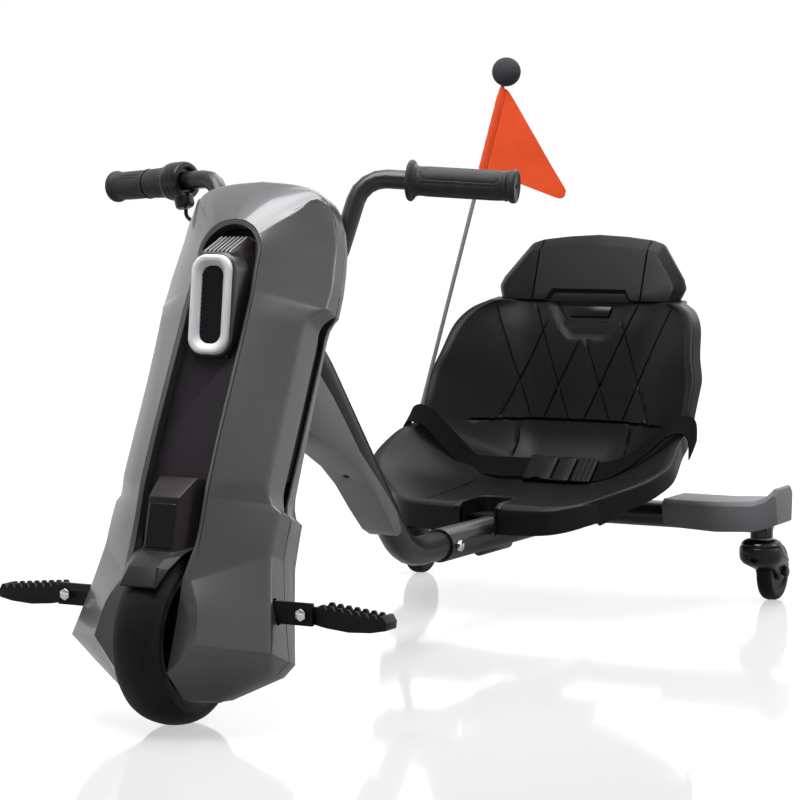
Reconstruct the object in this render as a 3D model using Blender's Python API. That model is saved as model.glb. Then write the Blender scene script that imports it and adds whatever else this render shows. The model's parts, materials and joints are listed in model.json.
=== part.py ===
"""Electric drift kart: one driven front wheel behind a raked fairing, a bucket seat and two casters.

The frame has +Z up and the ground at z = 0. The kart faces -Y, and +X is the rider's left.
The origin lies on the ground in the middle of the kart's length. Everything is in metres.
"""

import math

import bmesh
import bpy
from mathutils import Matrix, Vector

# Fit between neighbouring pieces
GAP = 0.0004
RUNNING_GAP = 0.0012

# Front wheel and steering axis
WHEEL_RADIUS = 0.100
TYRE_HALF_WIDTH = 0.030
RIM_RADIUS = 0.068
AXLE = Vector((0.0, -0.537, WHEEL_RADIUS))
RAKE = math.radians(23.0)
AXIS_UP = Vector((0.0, math.sin(RAKE), math.cos(RAKE)))
AXIS_FRONT = Vector((0.0, -math.cos(RAKE), math.sin(RAKE)))

# Head tube, measured up the steering axis from the wheel's axle
HEAD_BOTTOM = 0.322
HEAD_TOP = 0.408
HEAD_RADIUS = 0.0200
STEERER_RADIUS = 0.0125
STEERER_TOP = 0.4600
STEM_BOTTOM = 0.4225
STEM_TOP = 0.4590
CUP_HEIGHT = 0.008
AXLE_RADIUS = 0.006

# Frame tubes
TUBE_RADIUS = 0.0190
SLEEVE_OUTER_RADIUS = 0.0225
SPINE_Z = 0.121
SLEEVE_FRONT_Y = 0.095
SLEEVE_BORE_END_Y = 0.300
TUBE_END_Y = 0.285
LOCK_Y = 0.108
BEAM_Y = 0.547
BEAM_RADIUS = 0.019
BEAM_HALF = 0.298
SEAT_BRACKETS = (("front", 0.262, 0.1455), ("rear", 0.445, 0.1660))

# Seat and belt
SEAT_WALL = 0.005
SEAT_RIM = 0.012
SEAT_SKIRT = 0.023
BOLSTER_SHARES = (0.0, 0.36, 0.70, 1.0)
BELT_Y = 0.433
BELT_HALF_WIDTH = 0.018
BELT_THICKNESS = 0.0018
BELT_LEAN = (0.0, 0.50)

# Sections from the front lip to the top of the backrest:
# flat half width, half width, middle y and z, rim y and z, sharpness of the bolster
SEAT_SECTIONS = [
    (0.086, 0.157, 0.222, 0.1515, 0.259, 0.1600, 2.4),
    (0.078, 0.170, 0.235, 0.1517, 0.269, 0.1690, 2.4),
    (0.070, 0.182, 0.250, 0.1520, 0.280, 0.1780, 2.4),
    (0.050, 0.216, 0.300, 0.1540, 0.312, 0.1980, 2.1),
    (0.048, 0.2285, 0.345, 0.1590, 0.346, 0.2160, 2.0),
    (0.048, 0.220, 0.400, 0.1670, 0.398, 0.2420, 1.9),
    (0.050, 0.213, 0.455, 0.1770, 0.434, 0.2510, 1.8),
    (0.056, 0.209, 0.505, 0.1880, 0.450, 0.2640, 1.6),
    (0.066, 0.2075, 0.529, 0.2220, 0.459, 0.2840, 1.5),
    (0.072, 0.205, 0.540, 0.2650, 0.474, 0.3150, 1.5),
    (0.076, 0.199, 0.552, 0.3300, 0.492, 0.3520, 1.6),
    (0.080, 0.190, 0.564, 0.3860, 0.517, 0.3900, 1.8),
    (0.080, 0.173, 0.5722, 0.4125, 0.540, 0.4135, 2.2),
    (0.080, 0.150, 0.5762, 0.4255, 0.556, 0.4255, 2.6),
]

# Badge and headrest
BADGE_TILT = math.radians(17.2)
BADGE_UP = Vector((0, math.sin(BADGE_TILT), math.cos(BADGE_TILT)))
BADGE_OUT = Vector((0, -math.cos(BADGE_TILT), math.sin(BADGE_TILT)))
BADGE_PLACE = Vector((0.005, 0.5716, 0.4105))
BADGE_POCKET = 0.0030
HEADREST_FACE_Y = 0.568
HEADREST_FACE_Z = 0.424
HEADREST_SLOPE = 0.37
HEADREST_FACE = [(0, 0.5055), (0.086, 0.499), (0.101, 0.496), (0.132, 0.455), (0.137, 0.444), (0.131, 0.425)]
HEADREST_EDGE = [(0, 0.5225), (0.088, 0.515), (0.106, 0.5095), (0.144, 0.459), (0.150, 0.445), (0.142, 0.425)]
HEADREST_TAPER = 0.97
HEADREST_CHAMFER = 0.014
HEADREST_DEPTH = 0.030

# Flag
FLAG_FOOT = Vector((-0.269, 0.509, 0.160))
FLAG_BALL = Vector((-0.135, 0.580, 0.763))
FLAG_BALL_RADIUS = 0.0215
FLAG_DROP = 0.1490
FLAG_TURN = math.radians(15.0)

# Fairing
SHELL_WALL = 0.0028
SLOT_WALL = 0.0170
PANEL_DEPTH = 0.0178
PANEL_LAP = 0.0050
VENT_COUNT = 7
VENT_PITCH = 0.0047
LAMP_HALF_WIDTH = 0.0262
LAMP_HALF_HEIGHT = 0.0472
NOSE_CLEARANCE = 0.1025
LAMP_CENTRE = Vector((0.0, -0.4707, 0.4623))
LAMP_TILT = math.radians(6.4)
LAMP_UP = Vector((0.0, math.sin(LAMP_TILT), math.cos(LAMP_TILT)))
LAMP_FRONT = Vector((0.0, -math.cos(LAMP_TILT), math.sin(LAMP_TILT)))

# Casters
CASTER_X = 0.285
CASTER_AXLE_Y = 0.595
CASTER_RADIUS = 0.042
CASTER_HALF_WIDTH = 0.0115
RACE_RADIUS = 0.030
RACE_BOTTOM = 0.0840
RACE_TOP = 0.0960

# Handlebar
BAR_RADIUS = 0.0111
BAR_CENTRE = Vector((0.0, -0.330, 0.493))
BAR_LOWER_BEND = Vector((0.080, -0.330, 0.493))
BAR_UPPER_BEND = Vector((0.0965, -0.288, 0.6035))
BAR_END = Vector((0.2715, -0.2479, 0.5931))
BAR_BEND_RADIUS = 0.034

# Grips and throttle
GRIP_LENGTH = 0.128
GRIP_CAP = 0.003
TWIST_START = 0.0300
TWIST_END = 0.0655
LOBE = Vector((0.30, -0.10, -0.95)).normalized()
CABLE_ROUTE = [(-0.118, -0.294, 0.544), (-0.088, -0.296, 0.531), (-0.062, -0.305, 0.520)]
CABLE_ROUTE += [(-0.045, -0.325, 0.512), (-0.036, -0.343, 0.508), (-0.033, -0.350, 0.500)]

# Foot pegs
PEG_PIVOT_X = 0.154
PEG_PIVOT_Z = 0.133
PEG_BRACKET_Y = -0.528
PEG_NEAR_Y = -0.5245
PEG_FAR_Y = -0.4995
PEG_WALL = 0.0042
PEG_ROOT_X = 0.1700
PEG_TOOTH_PITCH = 0.0103
PEG_TEETH = 8

SIDES = (("left", 1.0), ("right", -1.0))

MATERIALS = {
    "gunmetal": ((0.155, 0.157, 0.160), 0.32, 0.55),
    "gunmetal_cover": ((0.130, 0.131, 0.134), 0.42, 0.20),
    "satin_black": ((0.018, 0.018, 0.020), 0.45, 0.0),
    "seat_black": ((0.022, 0.022, 0.023), 0.55, 0.0),
    "frame_black": ((0.015, 0.015, 0.016), 0.38, 0.30),
    "rubber": ((0.020, 0.020, 0.021), 0.75, 0.0),
    "grip_rubber": ((0.045, 0.046, 0.048), 0.70, 0.0),
    "webbing": ((0.010, 0.010, 0.010), 0.90, 0.0),
    "chrome": ((0.62, 0.62, 0.63), 0.12, 1.0),
    "steel": ((0.45, 0.45, 0.46), 0.35, 1.0),
    "silver": ((0.80, 0.81, 0.82), 0.30, 0.10),
    "mesh_black": ((0.012, 0.012, 0.013), 0.60, 0.0),
    "flag_orange": ((0.85, 0.105, 0.020), 0.60, 0.0),
    "foam": ((0.030, 0.030, 0.034), 0.95, 0.0),
    "pole_grey": ((0.20, 0.20, 0.21), 0.40, 0.0),
    "battery_black": ((0.020, 0.020, 0.022), 0.60, 0.0),
}


# Scene and object helpers


def clear_scene():
    """Removes every object of the open scene."""
    for item in list(bpy.data.objects):
        bpy.data.objects.remove(item, do_unlink=True)


def material(name):
    """The named finish, made on first use."""
    found = bpy.data.materials.get(name)
    if found:
        return found
    color, roughness, metallic = MATERIALS[name]
    made = bpy.data.materials.new(name)
    made.use_nodes = True
    shader = made.node_tree.nodes["Principled BSDF"]
    shader.inputs["Base Color"].default_value = (*color, 1.0)
    shader.inputs["Roughness"].default_value = roughness
    shader.inputs["Metallic"].default_value = metallic
    return made


def empty(name, place, parent=None):
    """An axis marker at a world position."""
    marker = bpy.data.objects.new(name, None)
    marker.empty_display_size = 0.05
    marker.location = place if parent is None else Vector(place) - world_place(parent)
    marker.parent = parent
    bpy.context.scene.collection.objects.link(marker)
    return marker


def world_place(item):
    """World position of an unrotated, parented marker."""
    place = item.location.copy()
    while item.parent:
        item = item.parent
        place += item.location
    return place


def add_object(name, bm, finish, parent=None, smooth_angle=35.0, facing=None):
    """Links a mesh, given in world coordinates, as an object under its parent marker.

    An open surface is turned so that it faces the given direction.
    """
    bmesh.ops.recalc_face_normals(bm, faces=bm.faces)
    if facing is not None and sum(face.normal.dot(facing) * face.calc_area() for face in bm.faces) < 0:
        bmesh.ops.reverse_faces(bm, faces=bm.faces)
    origin = world_place(parent) if parent else Vector()
    bmesh.ops.translate(bm, verts=bm.verts, vec=-origin)
    mesh = bpy.data.meshes.new(name)
    bm.to_mesh(mesh)
    bm.free()
    mesh.shade_smooth()
    mesh.set_sharp_from_angle(angle=math.radians(smooth_angle))
    mesh.materials.append(material(finish))
    made = bpy.data.objects.new(name, mesh)
    made.parent = parent
    bpy.context.scene.collection.objects.link(made)
    return made


def helper_object(name, bm):
    """A hidden operand of a Boolean."""
    made = add_object(name, bm, "steel")
    made.hide_render = True
    made.display_type = "WIRE"
    return made


def boolean(target, operation, name, bm, parent=None):
    """Cuts or joins a target with a shape given in world coordinates."""
    modifier = target.modifiers.new(name, "BOOLEAN")
    modifier.operation = operation
    modifier.solver = "EXACT"
    modifier.object = helper_object(f"{target.name}_{name}", bm)
    return target


def cut(target, name, bm):
    """Removes a shape from the target."""
    return boolean(target, "DIFFERENCE", name, bm)


def join(target, name, bm):
    """Welds a shape onto the target."""
    return boolean(target, "UNION", name, bm)


def add_bevel(target, width, segments=2, angle=40.0):
    """Rounds the edges that are sharper than the angle."""
    modifier = target.modifiers.new("rounded_edges", "BEVEL")
    modifier.width = width
    modifier.segments = segments
    modifier.limit_method = "ANGLE"
    modifier.angle_limit = math.radians(angle)
    modifier.use_clamp_overlap = True
    return modifier


def add_solidify(target, thickness, offset=-1.0):
    """Gives a surface a wall."""
    modifier = target.modifiers.new("wall", "SOLIDIFY")
    modifier.thickness = thickness
    modifier.offset = offset
    modifier.use_even_offset = True
    modifier.use_rim = True
    return target


def add_mirror(target):
    """Completes a half that was built on the rider's left."""
    modifier = target.modifiers.new("other_half", "MIRROR")
    modifier.use_axis = (True, False, False)
    modifier.use_mirror_merge = True
    modifier.merge_threshold = 0.0001
    return target


# Shape helpers


def box(low, high):
    """A block between two corners."""
    low, high = Vector(low), Vector(high)
    bm = bmesh.new()
    bmesh.ops.create_cube(bm, size=1.0)
    size = high - low
    bmesh.ops.scale(bm, vec=size, verts=bm.verts)
    bmesh.ops.translate(bm, vec=(low + high) / 2, verts=bm.verts)
    return bm


def frame_of(direction):
    """Two unit vectors square to a direction."""
    direction = Vector(direction).normalized()
    guide = Vector((1, 0, 0)) if abs(direction.x) < 0.9 else Vector((0, 1, 0))
    first = guide.cross(direction).normalized()
    return first, direction.cross(first)


def lathe(profile, start, direction, segments=32):
    """Turns a closed (radius, distance) profile about an axis."""
    start = Vector(start)
    direction = Vector(direction).normalized()
    first, _ = frame_of(direction)
    bm = bmesh.new()
    points = [bm.verts.new(start + direction * along + first * radius) for radius, along in profile]
    edges = [bm.edges.new((points[i], points[(i + 1) % len(points)])) for i in range(len(points))]
    bmesh.ops.spin(
        bm,
        geom=points + edges,
        cent=start,
        axis=direction,
        angle=2 * math.pi,
        steps=segments,
        use_merge=True,
    )
    bmesh.ops.remove_doubles(bm, verts=bm.verts, dist=0.00002)
    bmesh.ops.dissolve_degenerate(bm, edges=bm.edges, dist=0.00002)
    loose = [edge for edge in bm.edges if not edge.link_faces]
    bmesh.ops.delete(bm, geom=loose, context="EDGES")
    return bm


def rod(start, end, radius, segments=24, bore=0.0):
    """A straight bar, or a pipe where it has a bore."""
    length = (Vector(end) - Vector(start)).length
    profile = [(bore, 0.0), (radius, 0.0), (radius, length), (bore, length)]
    return lathe(profile, start, Vector(end) - Vector(start), segments)


def rounded_path(corners, radius, step=math.radians(10.0)):
    """Points of a bent tube: straight runs joined by arcs of one radius."""
    points = [Vector(corners[0])]
    for before, corner, after in zip(corners, corners[1:], corners[2:]):
        corner = Vector(corner)
        into = (Vector(before) - corner).normalized()
        out = (Vector(after) - corner).normalized()
        half = into.angle(out) / 2
        centre = corner + (into + out).normalized() * (radius / math.sin(half))
        reach = radius / math.tan(half)
        first = corner + into * reach - centre
        turn = math.pi - 2 * half
        count = max(2, round(turn / step))
        axis = first.cross(corner + out * reach - centre).normalized()
        for index in range(count + 1):
            points.append(centre + Matrix.Rotation(turn * index / count, 3, axis) @ first)
    points.append(Vector(corners[-1]))
    return points


def smooth_path(knots, per_span=6):
    """A Catmull-Rom curve through the knots."""
    knots = [Vector(knot) for knot in knots]
    padded = [2 * knots[0] - knots[1], *knots, 2 * knots[-1] - knots[-2]]
    points = []
    for a, b, c, d in zip(padded, padded[1:], padded[2:], padded[3:]):
        for index in range(per_span):
            t = index / per_span
            points.append(
                0.5
                * (2 * b + (c - a) * t + (2 * a - 5 * b + 4 * c - d) * t**2 + (3 * b - a - 3 * c + d) * t**3)
            )
    points.append(knots[-1])
    return points


def sweep(path, section, up=Vector((0, 0, 1))):
    """Carries a closed (side, lift) section along a path, turning it with the path."""
    bm = bmesh.new()
    rings = []
    for index, point in enumerate(path):
        ahead = path[min(index + 1, len(path) - 1)] - path[max(index - 1, 0)]
        ahead.normalize()
        side = ahead.cross(up).normalized()
        lift = side.cross(ahead).normalized()
        rings.append([bm.verts.new(point + side * s + lift * u) for s, u in section])
    count = len(section)
    for one, two in zip(rings, rings[1:]):
        for index in range(count):
            following = (index + 1) % count
            bm.faces.new((one[index], one[following], two[following], two[index]))
    bm.faces.new(reversed(rings[0]))
    bm.faces.new(rings[-1])
    return bm


def circle_section(radius, sides=20):
    """Points of a round section."""
    return [
        (radius * math.cos(2 * math.pi * i / sides), radius * math.sin(2 * math.pi * i / sides))
        for i in range(sides)
    ]


def prism(outline, origin, across, along, depth_axis, low, high):
    """Extrudes a flat outline, given along two axes, between two depths on a third."""
    origin, across, along = Vector(origin), Vector(across), Vector(along)
    depth_axis = Vector(depth_axis)
    bm = bmesh.new()
    base = [bm.verts.new(origin + across * a + along * b + depth_axis * low) for a, b in outline]
    face = bm.faces.new(base)
    made = bmesh.ops.extrude_face_region(bm, geom=[face])
    moved = [item for item in made["geom"] if isinstance(item, bmesh.types.BMVert)]
    bmesh.ops.translate(bm, vec=depth_axis * (high - low), verts=moved)
    return bm


def side_prism(outline, half_width, centre_x=0.0):
    """Extrudes an outline of (y, z) points sideways, evenly about a centre."""
    return prism(
        outline, (centre_x, 0, 0), (0, 1, 0), (0, 0, 1), (1, 0, 0), -half_width, half_width
    )


def rounded_rectangle(half_width, half_height, radius, steps=4):
    """Outline of a rectangle with round corners."""
    points = []
    for quarter, (sx, sy) in enumerate(((1, 1), (-1, 1), (-1, -1), (1, -1))):
        for index in range(steps + 1):
            angle = math.pi / 2 * (quarter + index / steps)
            points.append(
                (
                    sx * (half_width - radius) + radius * math.cos(angle),
                    sy * (half_height - radius) + radius * math.sin(angle),
                )
            )
    return points


def arc(centre, radius, start_deg, end_deg, steps):
    """Points of an arc in a plane."""
    turns = [math.radians(start_deg + (end_deg - start_deg) * i / steps) for i in range(steps + 1)]
    return [(centre[0] + radius * math.cos(t), centre[1] + radius * math.sin(t)) for t in turns]


def on_axis(up, front=0.0, x=0.0):
    """World position of a place in the steering frame."""
    return AXLE + AXIS_UP * up + AXIS_FRONT * front + Vector((x, 0, 0))


def mirrored(point, sign):
    """A point on the rider's left, or its mirror image on the right."""
    return Vector((point[0] * sign, point[1], point[2]))


# Rear frame


def bolt(name, head, direction, head_radius, head_height, shank_radius, length, parent=None):
    """A hexagon bolt: the head starts at a point and the shank follows the direction."""
    direction = Vector(direction).normalized()
    made = add_object(name, rod(head, Vector(head) + direction * head_height, head_radius, 6), "steel", parent)
    shank_start = Vector(head) + direction * head_height * 0.5
    shank = rod(shank_start, Vector(head) + direction * length, shank_radius, 12)
    return join(made, "shank", shank)


def build_rear_frame():
    """Telescoping sleeve, rear beam, seat brackets and caster housings, welded into one piece."""
    bore = TUBE_RADIUS + GAP
    depth = SLEEVE_BORE_END_Y - SLEEVE_FRONT_Y
    length = BEAM_Y + 0.0215 - SLEEVE_FRONT_Y
    outer = SLEEVE_OUTER_RADIUS
    pipe = [(bore, 0), (outer, 0), (outer, length), (0, length), (0, depth), (bore, depth)]
    frame = add_object("rear_frame", lathe(pipe, (0, SLEEVE_FRONT_Y, SPINE_Z), (0, 1, 0), 24), "frame_black")
    join(frame, "beam", rod((-BEAM_HALF, BEAM_Y, SPINE_Z), (BEAM_HALF, BEAM_Y, SPINE_Z), BEAM_RADIUS, 24))
    for label, y, top in SEAT_BRACKETS:
        bracket = box((-0.072, y - 0.016, 0.1414), (0.072, y + 0.016, top))
        join(frame, f"{label}_bracket", bracket)
    for label, sign in SIDES:
        top = (sign * CASTER_X, BEAM_Y, 0.134)
        bottom = (sign * CASTER_X, BEAM_Y, RACE_TOP + GAP)
        join(frame, f"{label}_caster_housing", rod(bottom, top, 0.016, 24))
        pin = rod((sign * CASTER_X, BEAM_Y, 0.080), (sign * CASTER_X, BEAM_Y, 0.125), 0.0057, 16)
        cut(frame, f"{label}_caster_bore", pin)
    stop = arc((0.0, 0.1008), 0.0085, 180.0, 360.0, 8)
    join(frame, "underside_stop", prism(stop, (0, 0, 0), (1, 0, 0), (0, 0, 1), (0, 1, 0), 0.215, 0.305))
    screw = rod((0.01, LOCK_Y, SPINE_Z), (0.04, LOCK_Y, SPINE_Z), 0.0045, 16)
    cut(frame, "lock_bore", screw)


def build_lock():
    """Hexagon bolt through the sleeve's wall that locks the frame's length."""
    head = (SLEEVE_OUTER_RADIUS + 0.0062, LOCK_Y, SPINE_Z)
    bolt("lock_bolt", head, (-1, 0, 0), 0.0075, 0.0058, 0.004, 0.0088)


def build_beam_cover(label, sign):
    """Moulded cover over one end of the beam, with a raised tip and an arch at its inner end."""
    stations = [
        (0.150, 0.502, 0.596, 0.112, 0.141, 0.148),
        (0.170, 0.499, 0.597, 0.108, 0.142, 0.148),
        (0.230, 0.500, 0.596, 0.105, 0.142, 0.148),
        (0.285, 0.502, 0.594, 0.108, 0.145, 0.151),
        (0.303, 0.506, 0.592, 0.113, 0.151, 0.158),
        (0.313, 0.512, 0.588, 0.117, 0.160, 0.170),
        (0.317, 0.516, 0.585, 0.119, 0.158, 0.167),
    ]
    bm = bmesh.new()
    rings = []
    for x, front, rear, bottom, shoulder, top in stations:
        section = [
            (front + 0.007, bottom),
            (front + 0.003, (bottom + shoulder) / 2),
            (front, shoulder),
            (front + 0.008, top),
            (rear - 0.008, top),
            (rear, shoulder),
            (rear - 0.003, bottom),
        ]
        rings.append([bm.verts.new((sign * x, y, z)) for y, z in section])
    for one, two in zip(rings, rings[1:]):
        for i in range(len(one)):
            j = (i + 1) % len(one)
            bm.faces.new((one[i], one[j], two[j], two[i]))
    bm.faces.new(rings[0])
    bm.faces.new(rings[-1])
    cover = add_object(f"beam_cover_{label}", bm, "gunmetal_cover")
    low, high = sorted((sign * 0.140, sign * 0.3035))
    cut(cover, "beam_space", box((low, 0.525, 0.09), (high, 0.569, 0.1410)))
    low, high = sorted((sign * 0.140, sign * 0.162))
    cut(cover, "arch", box((low, 0.512, 0.09), (high, 0.582, 0.1300)))
    return cover


def seat_section(section, upright):
    """Points across the left half of the seat at one section: flat middle, curved bolster and level rim.

    The rim is level in height on the pan, where upright is 0, and in depth on the backrest, where it is 1.
    """
    flat, half, middle_y, middle_z, rim_y, rim_z, sharpness = section
    points = [(0.0, middle_y, middle_z), (flat * 0.6, middle_y, middle_z)]
    bolster = half - SEAT_RIM
    for share in BOLSTER_SHARES:
        across = flat + (bolster - flat) * share
        rise = share**sharpness * 0.96
        swept = ((across - flat) / (half - flat)) ** sharpness
        sweep_y = swept + (rise - swept) * upright
        points.append((across, middle_y + (rim_y - middle_y) * sweep_y, middle_z + (rim_z - middle_z) * rise))
    points.append((half, rim_y, rim_z))
    return points


def build_seat():
    """One-piece bucket: pan with a skirt, side bolsters, backrest with a badge pocket, and headrest."""
    rows = []
    for index, section in enumerate(SEAT_SECTIONS):
        upright = min(max((index - 5) / 4, 0.0), 1.0)
        row = seat_section(section, upright)
        x, y, z = row[-1]
        row.append((x + 0.003, y + SEAT_SKIRT * upright, z - SEAT_SKIRT * (1 - upright)))
        rows.append(row)
    edge = []
    for x, y, z in rows[0][:-1]:
        turn = math.radians(65.0) * (x / rows[0][-2][0]) ** 3
        reach = SEAT_RIM * 0.9 * math.cos(turn)
        edge.append((x + SEAT_RIM * 0.5 * math.sin(turn), y - reach, z - reach * 0.5))
    skirt = [(x, y + 0.002, z - SEAT_SKIRT) for x, y, z in edge]
    rows[0][-1] = edge[-1]
    top = [(x, y + SEAT_RIM, z + 0.003) for x, y, z in rows[-1][:-2]]
    bm = bmesh.new()
    grid = [[bm.verts.new(point) for point in row] for row in (skirt, edge)]
    grid += [[bm.verts.new(point) for point in row] for row in rows]
    grid.append([bm.verts.new(point) for point in top])
    for low, high in zip(grid, grid[1:]):
        for i in range(min(len(low), len(high)) - 1):
            corners = list(dict.fromkeys((low[i], low[i + 1], high[i + 1], high[i])))
            bm.faces.new(corners)
    bm.faces.new((grid[0][-1], grid[1][-1], grid[2][-1], grid[3][-1]))
    bm.faces.new((grid[-1][-1], grid[-2][-3], grid[-2][-2], grid[-2][-1]))
    bmesh.ops.remove_doubles(bm, verts=bm.verts, dist=0.0001)
    seat = add_object("seat_shell", bm, "seat_black", facing=Vector((0, -0.6, 0.8)), smooth_angle=50.0)
    add_mirror(seat)
    add_solidify(seat, SEAT_WALL)
    join(seat, "headrest", headrest_block())
    join(seat, "neck", box((-0.100, 0.5815, 0.4050), (0.100, 0.6040, 0.4500)))
    cut(seat, "tube_notch", box((-0.0262, 0.18, 0.10), (0.0262, 0.247, 0.1462)))
    pocket = [(-0.034, -0.0160), (0.034, -0.0160), (0.058, 0.0150), (-0.058, 0.0150)]
    cut(seat, "badge_pocket", prism(pocket, BADGE_PLACE, (1, 0, 0), BADGE_UP, BADGE_OUT, -BADGE_POCKET, 0.02))
    return seat


def headrest_block():
    """Headrest: a flat face inside a broad chamfer, with a block behind it."""
    bm = bmesh.new()
    rings = []
    low = HEADREST_FACE_Z
    back_edge = [(x * HEADREST_TAPER, low + (z - low) * HEADREST_TAPER) for x, z in HEADREST_EDGE]
    outlines = [(HEADREST_FACE, 0.0), (HEADREST_EDGE, HEADREST_CHAMFER), (back_edge, HEADREST_DEPTH)]
    for outline, back in outlines:
        half = [(x, HEADREST_FACE_Y + (z - HEADREST_FACE_Z) * HEADREST_SLOPE + back, z) for x, z in outline]
        ring = half + [(-x, y, z) for x, y, z in reversed(half) if x > 0]
        rings.append([bm.verts.new(point) for point in ring])
    for one, two in zip(rings, rings[1:]):
        for i in range(len(one)):
            j = (i + 1) % len(one)
            bm.faces.new((one[i], one[j], two[j], two[i]))
    bm.faces.new(rings[0])
    bm.faces.new(rings[-1])
    return bm


def build_badge():
    """Plain plate in the pocket below the headrest."""
    outline = [(-0.0310, -0.0075), (0.0310, -0.0075), (0.0345, 0.0075), (-0.0345, 0.0075)]
    floor = BADGE_PLACE - BADGE_OUT * BADGE_POCKET
    plate = prism(outline, floor, (1, 0, 0), BADGE_UP, BADGE_OUT, 0.0006, 0.0026)
    add_object("seat_badge", plate, "satin_black")


def ribbon(name, path):
    """A strap across the seat along (x, z) points, leaning forward more where it climbs the bolster."""
    bm = bmesh.new()
    edges = []
    for x, z in path:
        lean = BELT_LEAN[0] + (BELT_LEAN[1] - BELT_LEAN[0]) * min(max((abs(x) - 0.08) / 0.12, 0.0), 1.0)
        half = Vector((0, 1, lean)).normalized() * BELT_HALF_WIDTH
        middle = Vector((x, BELT_Y, z))
        edges.append((bm.verts.new(middle - half), bm.verts.new(middle + half)))
    for one, two in zip(edges, edges[1:]):
        bm.faces.new((one[0], one[1], two[1], two[0]))
    strap = add_object(name, bm, "webbing", facing=Vector((0, 0, 1)))
    add_solidify(strap, BELT_THICKNESS, 0.0)


def build_belt():
    """Lap belt lying over the seat, with its buckle and slider."""
    rise = [(0.082, 0, 0.1945), (0.100, 0, 0.1990), (0.131, 0, 0.2120), (0.155, 0, 0.2290)]
    rise += [(0.172, 0, 0.2430), (0.190, 0, 0.2540), (0.2060, 0, 0.2580)]
    over = [(0.2170, 0.2570), (0.2230, 0.2500), (0.2230, 0.2150)]
    left = smooth_path([(0.0405, 0, 0.1890), (0.060, 0, 0.1905), *rise], 2)
    ribbon("belt_left", [(point.x, point.z) for point in left] + over)
    right = smooth_path([(-0.0125, 0, 0.1885), (-0.045, 0, 0.1895), *[(-x, y, z) for x, y, z in rise]], 2)
    ribbon("belt_right", [(point.x, point.z) for point in right] + [(-x, z) for x, z in over])
    socket = belt_block("buckle_socket", (-0.0120, 0.0195), (0.1825, 0.1965), 0.024, 0.003)
    cut(socket, "mouth", belt_box((0.0040, 0.0300), (0.1855, 0.1935), 0.0185))
    tongue = belt_block("buckle_tongue", (0.0200, 0.0400), (0.1835, 0.1955), 0.024, 0.003)
    join(tongue, "prong", belt_box((0.0060, 0.0240), (0.1870, 0.1920), 0.0165))
    slider = belt_block("belt_slider", (0.0720, 0.0920), (0.1892, 0.2006), 0.023, 0.002)
    cut(slider, "slot", belt_box((0.0600, 0.1100), (0.1911, 0.1986), 0.0190))


def belt_box(across, heights, half_width):
    """A block centred on the belt, between two x and two z values."""
    low = (across[0], BELT_Y - half_width, heights[0])
    return box(low, (across[1], BELT_Y + half_width, heights[1]))


def belt_block(name, across, heights, half_width, rounding):
    """A moulded belt fitting with rounded edges."""
    made = add_object(name, belt_box(across, heights, half_width), "satin_black")
    add_bevel(made, rounding)
    return made


def build_flag():
    """Pennant on a leaning pole that stands in a socket on the right beam cover."""
    direction = (FLAG_BALL - FLAG_FOOT).normalized()
    foot_y = FLAG_FOOT.y + 0.003
    boss = rod((FLAG_FOOT.x, foot_y, 0.1514), (FLAG_FOOT.x, foot_y, 0.1600), 0.010, 20)
    socket = add_object("flag_socket", boss, "satin_black")
    join(socket, "tube", rod(FLAG_FOOT - direction * 0.002, FLAG_FOOT + direction * 0.042, 0.0065, 20))
    cut(socket, "bore", rod(FLAG_FOOT + direction * 0.004, FLAG_FOOT + direction * 0.060, 0.0031 + GAP, 16))
    top = FLAG_BALL - direction * 0.012
    add_object("flag_pole", rod(FLAG_FOOT + direction * 0.0045, top, 0.0031, 16), "pole_grey")
    ball = bmesh.new()
    bmesh.ops.create_uvsphere(ball, u_segments=16, v_segments=9, radius=FLAG_BALL_RADIUS)
    bmesh.ops.translate(ball, verts=ball.verts, vec=FLAG_BALL)
    ball_object = add_object("flag_ball", ball, "foam")
    cut(ball_object, "bore", rod(FLAG_BALL - direction * 0.040, top + direction * 0.0005, 0.0031 + GAP, 16))
    build_pennant(direction)


def build_pennant(direction):
    """The cloth: a sleeve round the pole and a pointed leaf with a rounded corner."""
    out = Vector((math.cos(FLAG_TURN), math.sin(FLAG_TURN), 0.0))
    out = (out - direction * out.dot(direction)).normalized()
    normal = direction.cross(out)
    low = FLAG_BALL - direction * FLAG_DROP
    leaf = [(0.0015, 0.0), (0.0015, 0.1230), (0.0060, 0.1240), (0.0120, 0.1180), (0.1280, 0.0035)]
    leaf += [(0.1315, -0.0030), (0.1310, -0.0095), (0.1260, -0.0135), (0.1190, -0.0140)]
    cloth = prism(leaf, low, out, direction, normal, -0.0005, 0.0005)
    flag = add_object("flag", cloth, "flag_orange")
    join(flag, "sleeve", rod(low, low + direction * 0.124, 0.0052, 16))
    cut(flag, "pole_space", rod(low - direction * 0.01, low + direction * 0.17, 0.0031 + GAP, 16))


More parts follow.
